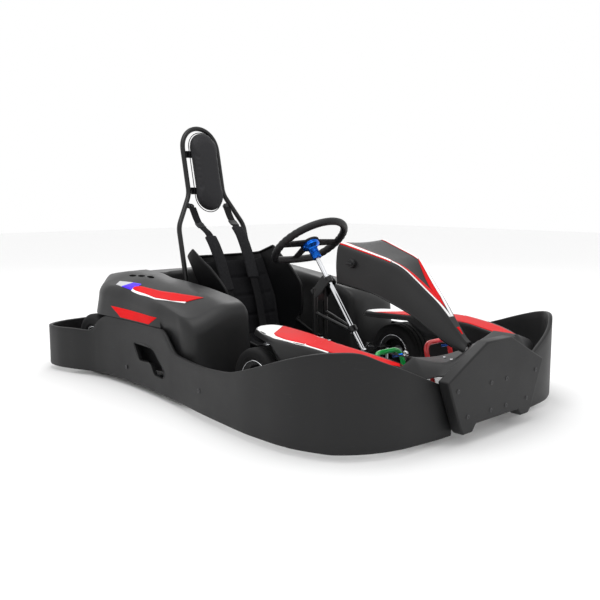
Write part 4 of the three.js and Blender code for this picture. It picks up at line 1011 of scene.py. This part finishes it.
# pedals
pedal = dict(x=1500, z=86, topX=1448, topZ=258, half=78, tube=9.5, y=148)
for side, label, body, slotName, tint in ((-1, "throttle", "throttle", "green_paint", "greenPaint"),
                                          (1, "brake", "brake", "red_paint", "redPaint")):
    y = side * pedal["y"]
    reach = pedal["half"] - 4
    left, right = y - reach, y + reach
    loop = tube("loop", [(pedal["x"], left, pedal["z"]), (pedal["topX"], left, pedal["topZ"]),
                         (pedal["topX"], right, pedal["topZ"]), (pedal["x"], right, pedal["z"])],
                pedal["tube"], up=(0.957, 0, 0.289), bend=42, sides=18)
    end = pedal["half"] + 11
    sleeve = turnedPart("sleeve", mirrored([(5.5, -end), (10, -end), (11, 1 - end)]),
                        (pedal["x"], y, pedal["z"]), (0, 1, 0), 28)
    finishPiece(joinedPieces(f"{label}Pedal", [loop, sleeve]), body, slotName, tint, f"{label}_pedal")
    link = tube("link", [(1452, y + 30, 236), (1500, y + 34, 250)], 5, up=(0, 1, 0), sides=14)
    finishPiece(link, body, "blue_alloy", "blueAnodised")
    link.name = f"{label}Link"
    rodEnd = turnedPart(f"{label}RodEnd", [(5, -6), (11, -5), (12, 0), (11, 5), (5, 6)],
                        (1508, y + 34, 253), (0, 1, 0), 28)
    finishPiece(rodEnd, body, "bright_steel", "chromeSteel")
print("pedals ready")


# wheels
def tyreProfile(radius, half, rimHalf, seat=64.3, lip=78):
    # bead, bulged sidewall, round shoulder and a grooved tread, mirrored about the middle
    turn, corner = np.linspace(0, math.pi / 2, 7), 18
    shoulder = [(radius - corner + corner * math.sin(t),
                 half - corner + corner * math.cos(t)) for t in turn]
    groove = half * 0.42
    right = [(seat, rimHalf - 15), (lip + 3, rimHalf - 3), (lip + 14, rimHalf + 1),
             (lip + 16, rimHalf + 2.5), (lip + 19, rimHalf + 2)]
    right += [(radius - 30, half - 1)] + shoulder
    right += [(radius, groove + 3), (radius - 5, groove + 2), (radius - 5, groove - 2),
              (radius, groove - 3)]
    right += [(radius, 4), (radius - 5, 3)]
    return mirrored(right)


def rimProfile(bore, half, barrel=64, lip=78, wall=4):
    inner = barrel - wall
    right = [(bore, 14), (26, 14), (28, 6), (inner - 6, 6), (inner, 9), (inner, half - 13),
             (lip - 4, half - 1), (lip, half - 1),
             (lip, half - 4), (barrel, half - 13)]
    return mirrored(right)


wheelSets = [
    ("rear", 139, 103, 97, 20.9, (0, 483, 139), lambda label: "rear_axle_set"),
    ("front", 127, 64, 60, 9.3, (1055, 405, 127), lambda label: f"front_wheel_{label}"),
]
lipCircle = ringSection(78.5, 96)
for kind, radius, half, rimHalf, bore, centre, bodyOf in wheelSets:
    for side, label in sideNames.items():
        middle = (centre[0], side * centre[1], centre[2])
        body = bodyOf(label)
        tyre = turnedPart(f"{kind}Tyre_{label}", tyreProfile(radius, half, rimHalf), middle, steps=96)
        finishPiece(sharpEdges(tyre), body, "tyre", "tyreRubber", f"{kind}_tyre_{label}")
        rimPart = turnedPart(f"{kind}Rim_{label}", rimProfile(bore, rimHalf), middle, steps=72)
        finishPiece(sharpEdges(rimPart), body, "grey_alloy", "rimBlack", f"{kind}_rim_{label}")
        for way in (-1, 1):
            lipPath = np.insert(lipCircle, 1, way * (rimHalf - 1.5), axis=1) + middle
            lipRing = sweep(f"{kind}RimLip_{label}", lipPath, (0, 1, 0), ringSection(2.6, 10), closed=True)
            finishPiece(lipRing, body, "grey_alloy", "chromeSteel")
            cap = turnedPart(f"{kind}HubCap_{label}",
                             [(bore + 0.2, 14.2), (25, 14.2), (27, 16), (26, 22), (bore + 0.2, 22)],
                             middle, (0, way, 0), 40)
            finishPiece(sharpEdges(cap), body, "grey_alloy", "brushedSteel")
print("wheels ready")

# drive
turningParts = [
    ("axleTube", [(15, -521), (19.5, -521), (20, -520)], (0, 0, 139), 40,
     ("rear_axle_set", "bright_steel", "chromeSteel", "rear_axle")),
    ("brakeDisc", [(20.9, -14), (30, -14), (32, -12), (32, -2.5), (86, -2.5), (88, -1.5)], (0, -150, 139),
     72,
     ("rear_axle_set", "bright_steel", "brushedSteel", "brake_disc")),
    ("axlePulley", [(20.9, -14), (30, -14), (32, -12), (32, -4.5), (78, -4.5), (80, -3)], (0, 150, 139), 72,
     ("rear_axle_set", "grey_alloy", "castAlloy", "axle_sprocket")),
    ("motorPulley", [(9.7, -10), (15, -10), (16, -9), (16, -4.5), (27, -4.5), (28, -3)], (190, 150, 168),
     48,
     ("motor_pinion_set", "grey_alloy", "castAlloy", "motor_pinion")),
]
for name, half, centre, steps, role in turningParts:
    finishPiece(sharpEdges(turnedPart(name, mirrored(half), centre, steps=steps)), *role)
fins = [(0, -95), (66, -95), (70, -91)]
for start in range(-84, 100, 12):
    fins += [(72, start), (72, start + 6), (66, start + 7), (66, start + 11)]
fins += [(70, 110), (66, 118), (9, 118), (9, 166), (8, 168), (0, 168)]
motorCan = turnedPart("motorCan", fins, (190, 0, 168), steps=64)
finishPiece(sharpEdges(motorCan), "chassis", "grey_alloy", "castAlloy", "motor")

knob = joinedPieces("startKnob", [
    turnedPart("dial", [(0, 0), (17, 0), (17, 7), (15, 10), (0, 10)], (1262, -146, 572), (0, -1, 0), 40),
    sweep("bar", np.linspace((1247, -161, 572), (1277, -161, 572), 5), (0, 0, 1),
          roundedSection(10, 8, 2.5)),
])
finishPiece(sharpEdges(knob), "switch", "black_rubber", "gripRubber", "start_switch")


# fasteners
def boltHeads(name, spots, normal, radius=6, height=4.5, finish="chromeSteel", slotName="bright_steel"):
    # one socket-head profile turned once and set at every place
    profile = [(0, -1), (radius, -1), (radius, height * 0.6), (radius * 0.8, height),
               (radius * 0.5, height),
               (radius * 0.45, height * 0.4), (0, height * 0.4)]
    heads = [turnedPart("head", profile, spot, normal, 18) for spot in spots]
    return finishPiece(sharpEdges(joinedPieces(name, heads)), "chassis", slotName, finish)


panelSpots = [(panel["front"], side * y, z) for y,
              z in ((239, 194), (182, 97), (47, 192), (47, 95)) for side in (1, -1)]
boltHeads("panelBolts", panelSpots, (1, 0, 0), 8, 2.4, "batteryCase", "battery_case")
for side, label in sideNames.items():
    boltHeads(f"bumperBolts_{label}", [(344, side * 607, 85), (980, side * 671, 110)], (0, side, 0), 9, 2.4,
              "batteryCase", "battery_case")
    boltHeads(f"coverBolts_{label}", [(1310, side * 352, 314.5), (1362, side * 366, 313.5)], (0, 0, 1))
boltHeads("deckBolts", [(1640, -56, 250), (1691, -84, 254)], (0, 0, 1))
print("fasteners ready")

# stage
stageSetup = dict(floor=(0.94, 0.94, 0.94, 1), world=1.0, key=60, fill=2, back=34)
floorMesh = newObject("studioFloor", [(-14, -14, 0), (14, -14, 0), (14, 14, 0), (-14, 14, 0)],
                      [[0, 1, 2, 3]], smooth=False)
floorSkin = bpy.data.materials.new("studioFloor")
floorSkin.use_nodes = True
floorShader = floorSkin.node_tree.nodes["Principled BSDF"]
floorShader.inputs["Base Color"].default_value = stageSetup["floor"]
floorShader.inputs["Roughness"].default_value = 0.9
floorMesh.data.materials.append(floorSkin)
world = bpy.data.worlds.new("studioWorld")
world.use_nodes = True
backdrop = world.node_tree.nodes["Background"]
backdrop.inputs[0].default_value = (1, 1, 1, 1)
backdrop.inputs[1].default_value = stageSetup["world"]
bpy.context.scene.world = world


def areaLight(name, spot, aim, size, power):
    data = bpy.data.lights.new(name, "AREA")
    data.shape, data.size, data.energy = "DISK", size, power
    lamp = bpy.data.objects.new(name, data)
    bpy.context.scene.collection.objects.link(lamp)
    way = np.asarray(aim, float) - spot
    lamp.location = spot
    lamp.rotation_euler = (math.acos(-way[2] / np.linalg.norm(way)), 0,
                           math.atan2(way[1], way[0]) - math.pi / 2)


areaLight("keyLight", np.array([0.5, -0.8, 4.2]), (0, 0, 0.2), 3.2, stageSetup["key"])
areaLight("fillLight", np.array([3.6, -3.2, 2.4]), (0.2, 0, 0.3), 2.4, stageSetup["fill"])
areaLight("backLight", np.array([-3.2, 2.6, 3.0]), (0, 0, 0.4), 2.6, stageSetup["back"])

cameraData = bpy.data.cameras.new("studioCamera")
cameraData.lens, cameraData.sensor_width = 46.37, 36
camera = bpy.data.objects.new("studioCamera", cameraData)
camera.location = (2.5422, -2.2977, 0.8363)
camera.rotation_euler = (math.radians(82.2), 0, math.radians(47.3))
bpy.context.scene.collection.objects.link(camera)
bpy.context.scene.camera = camera
bpy.context.scene.view_settings.view_transform = "Standard"
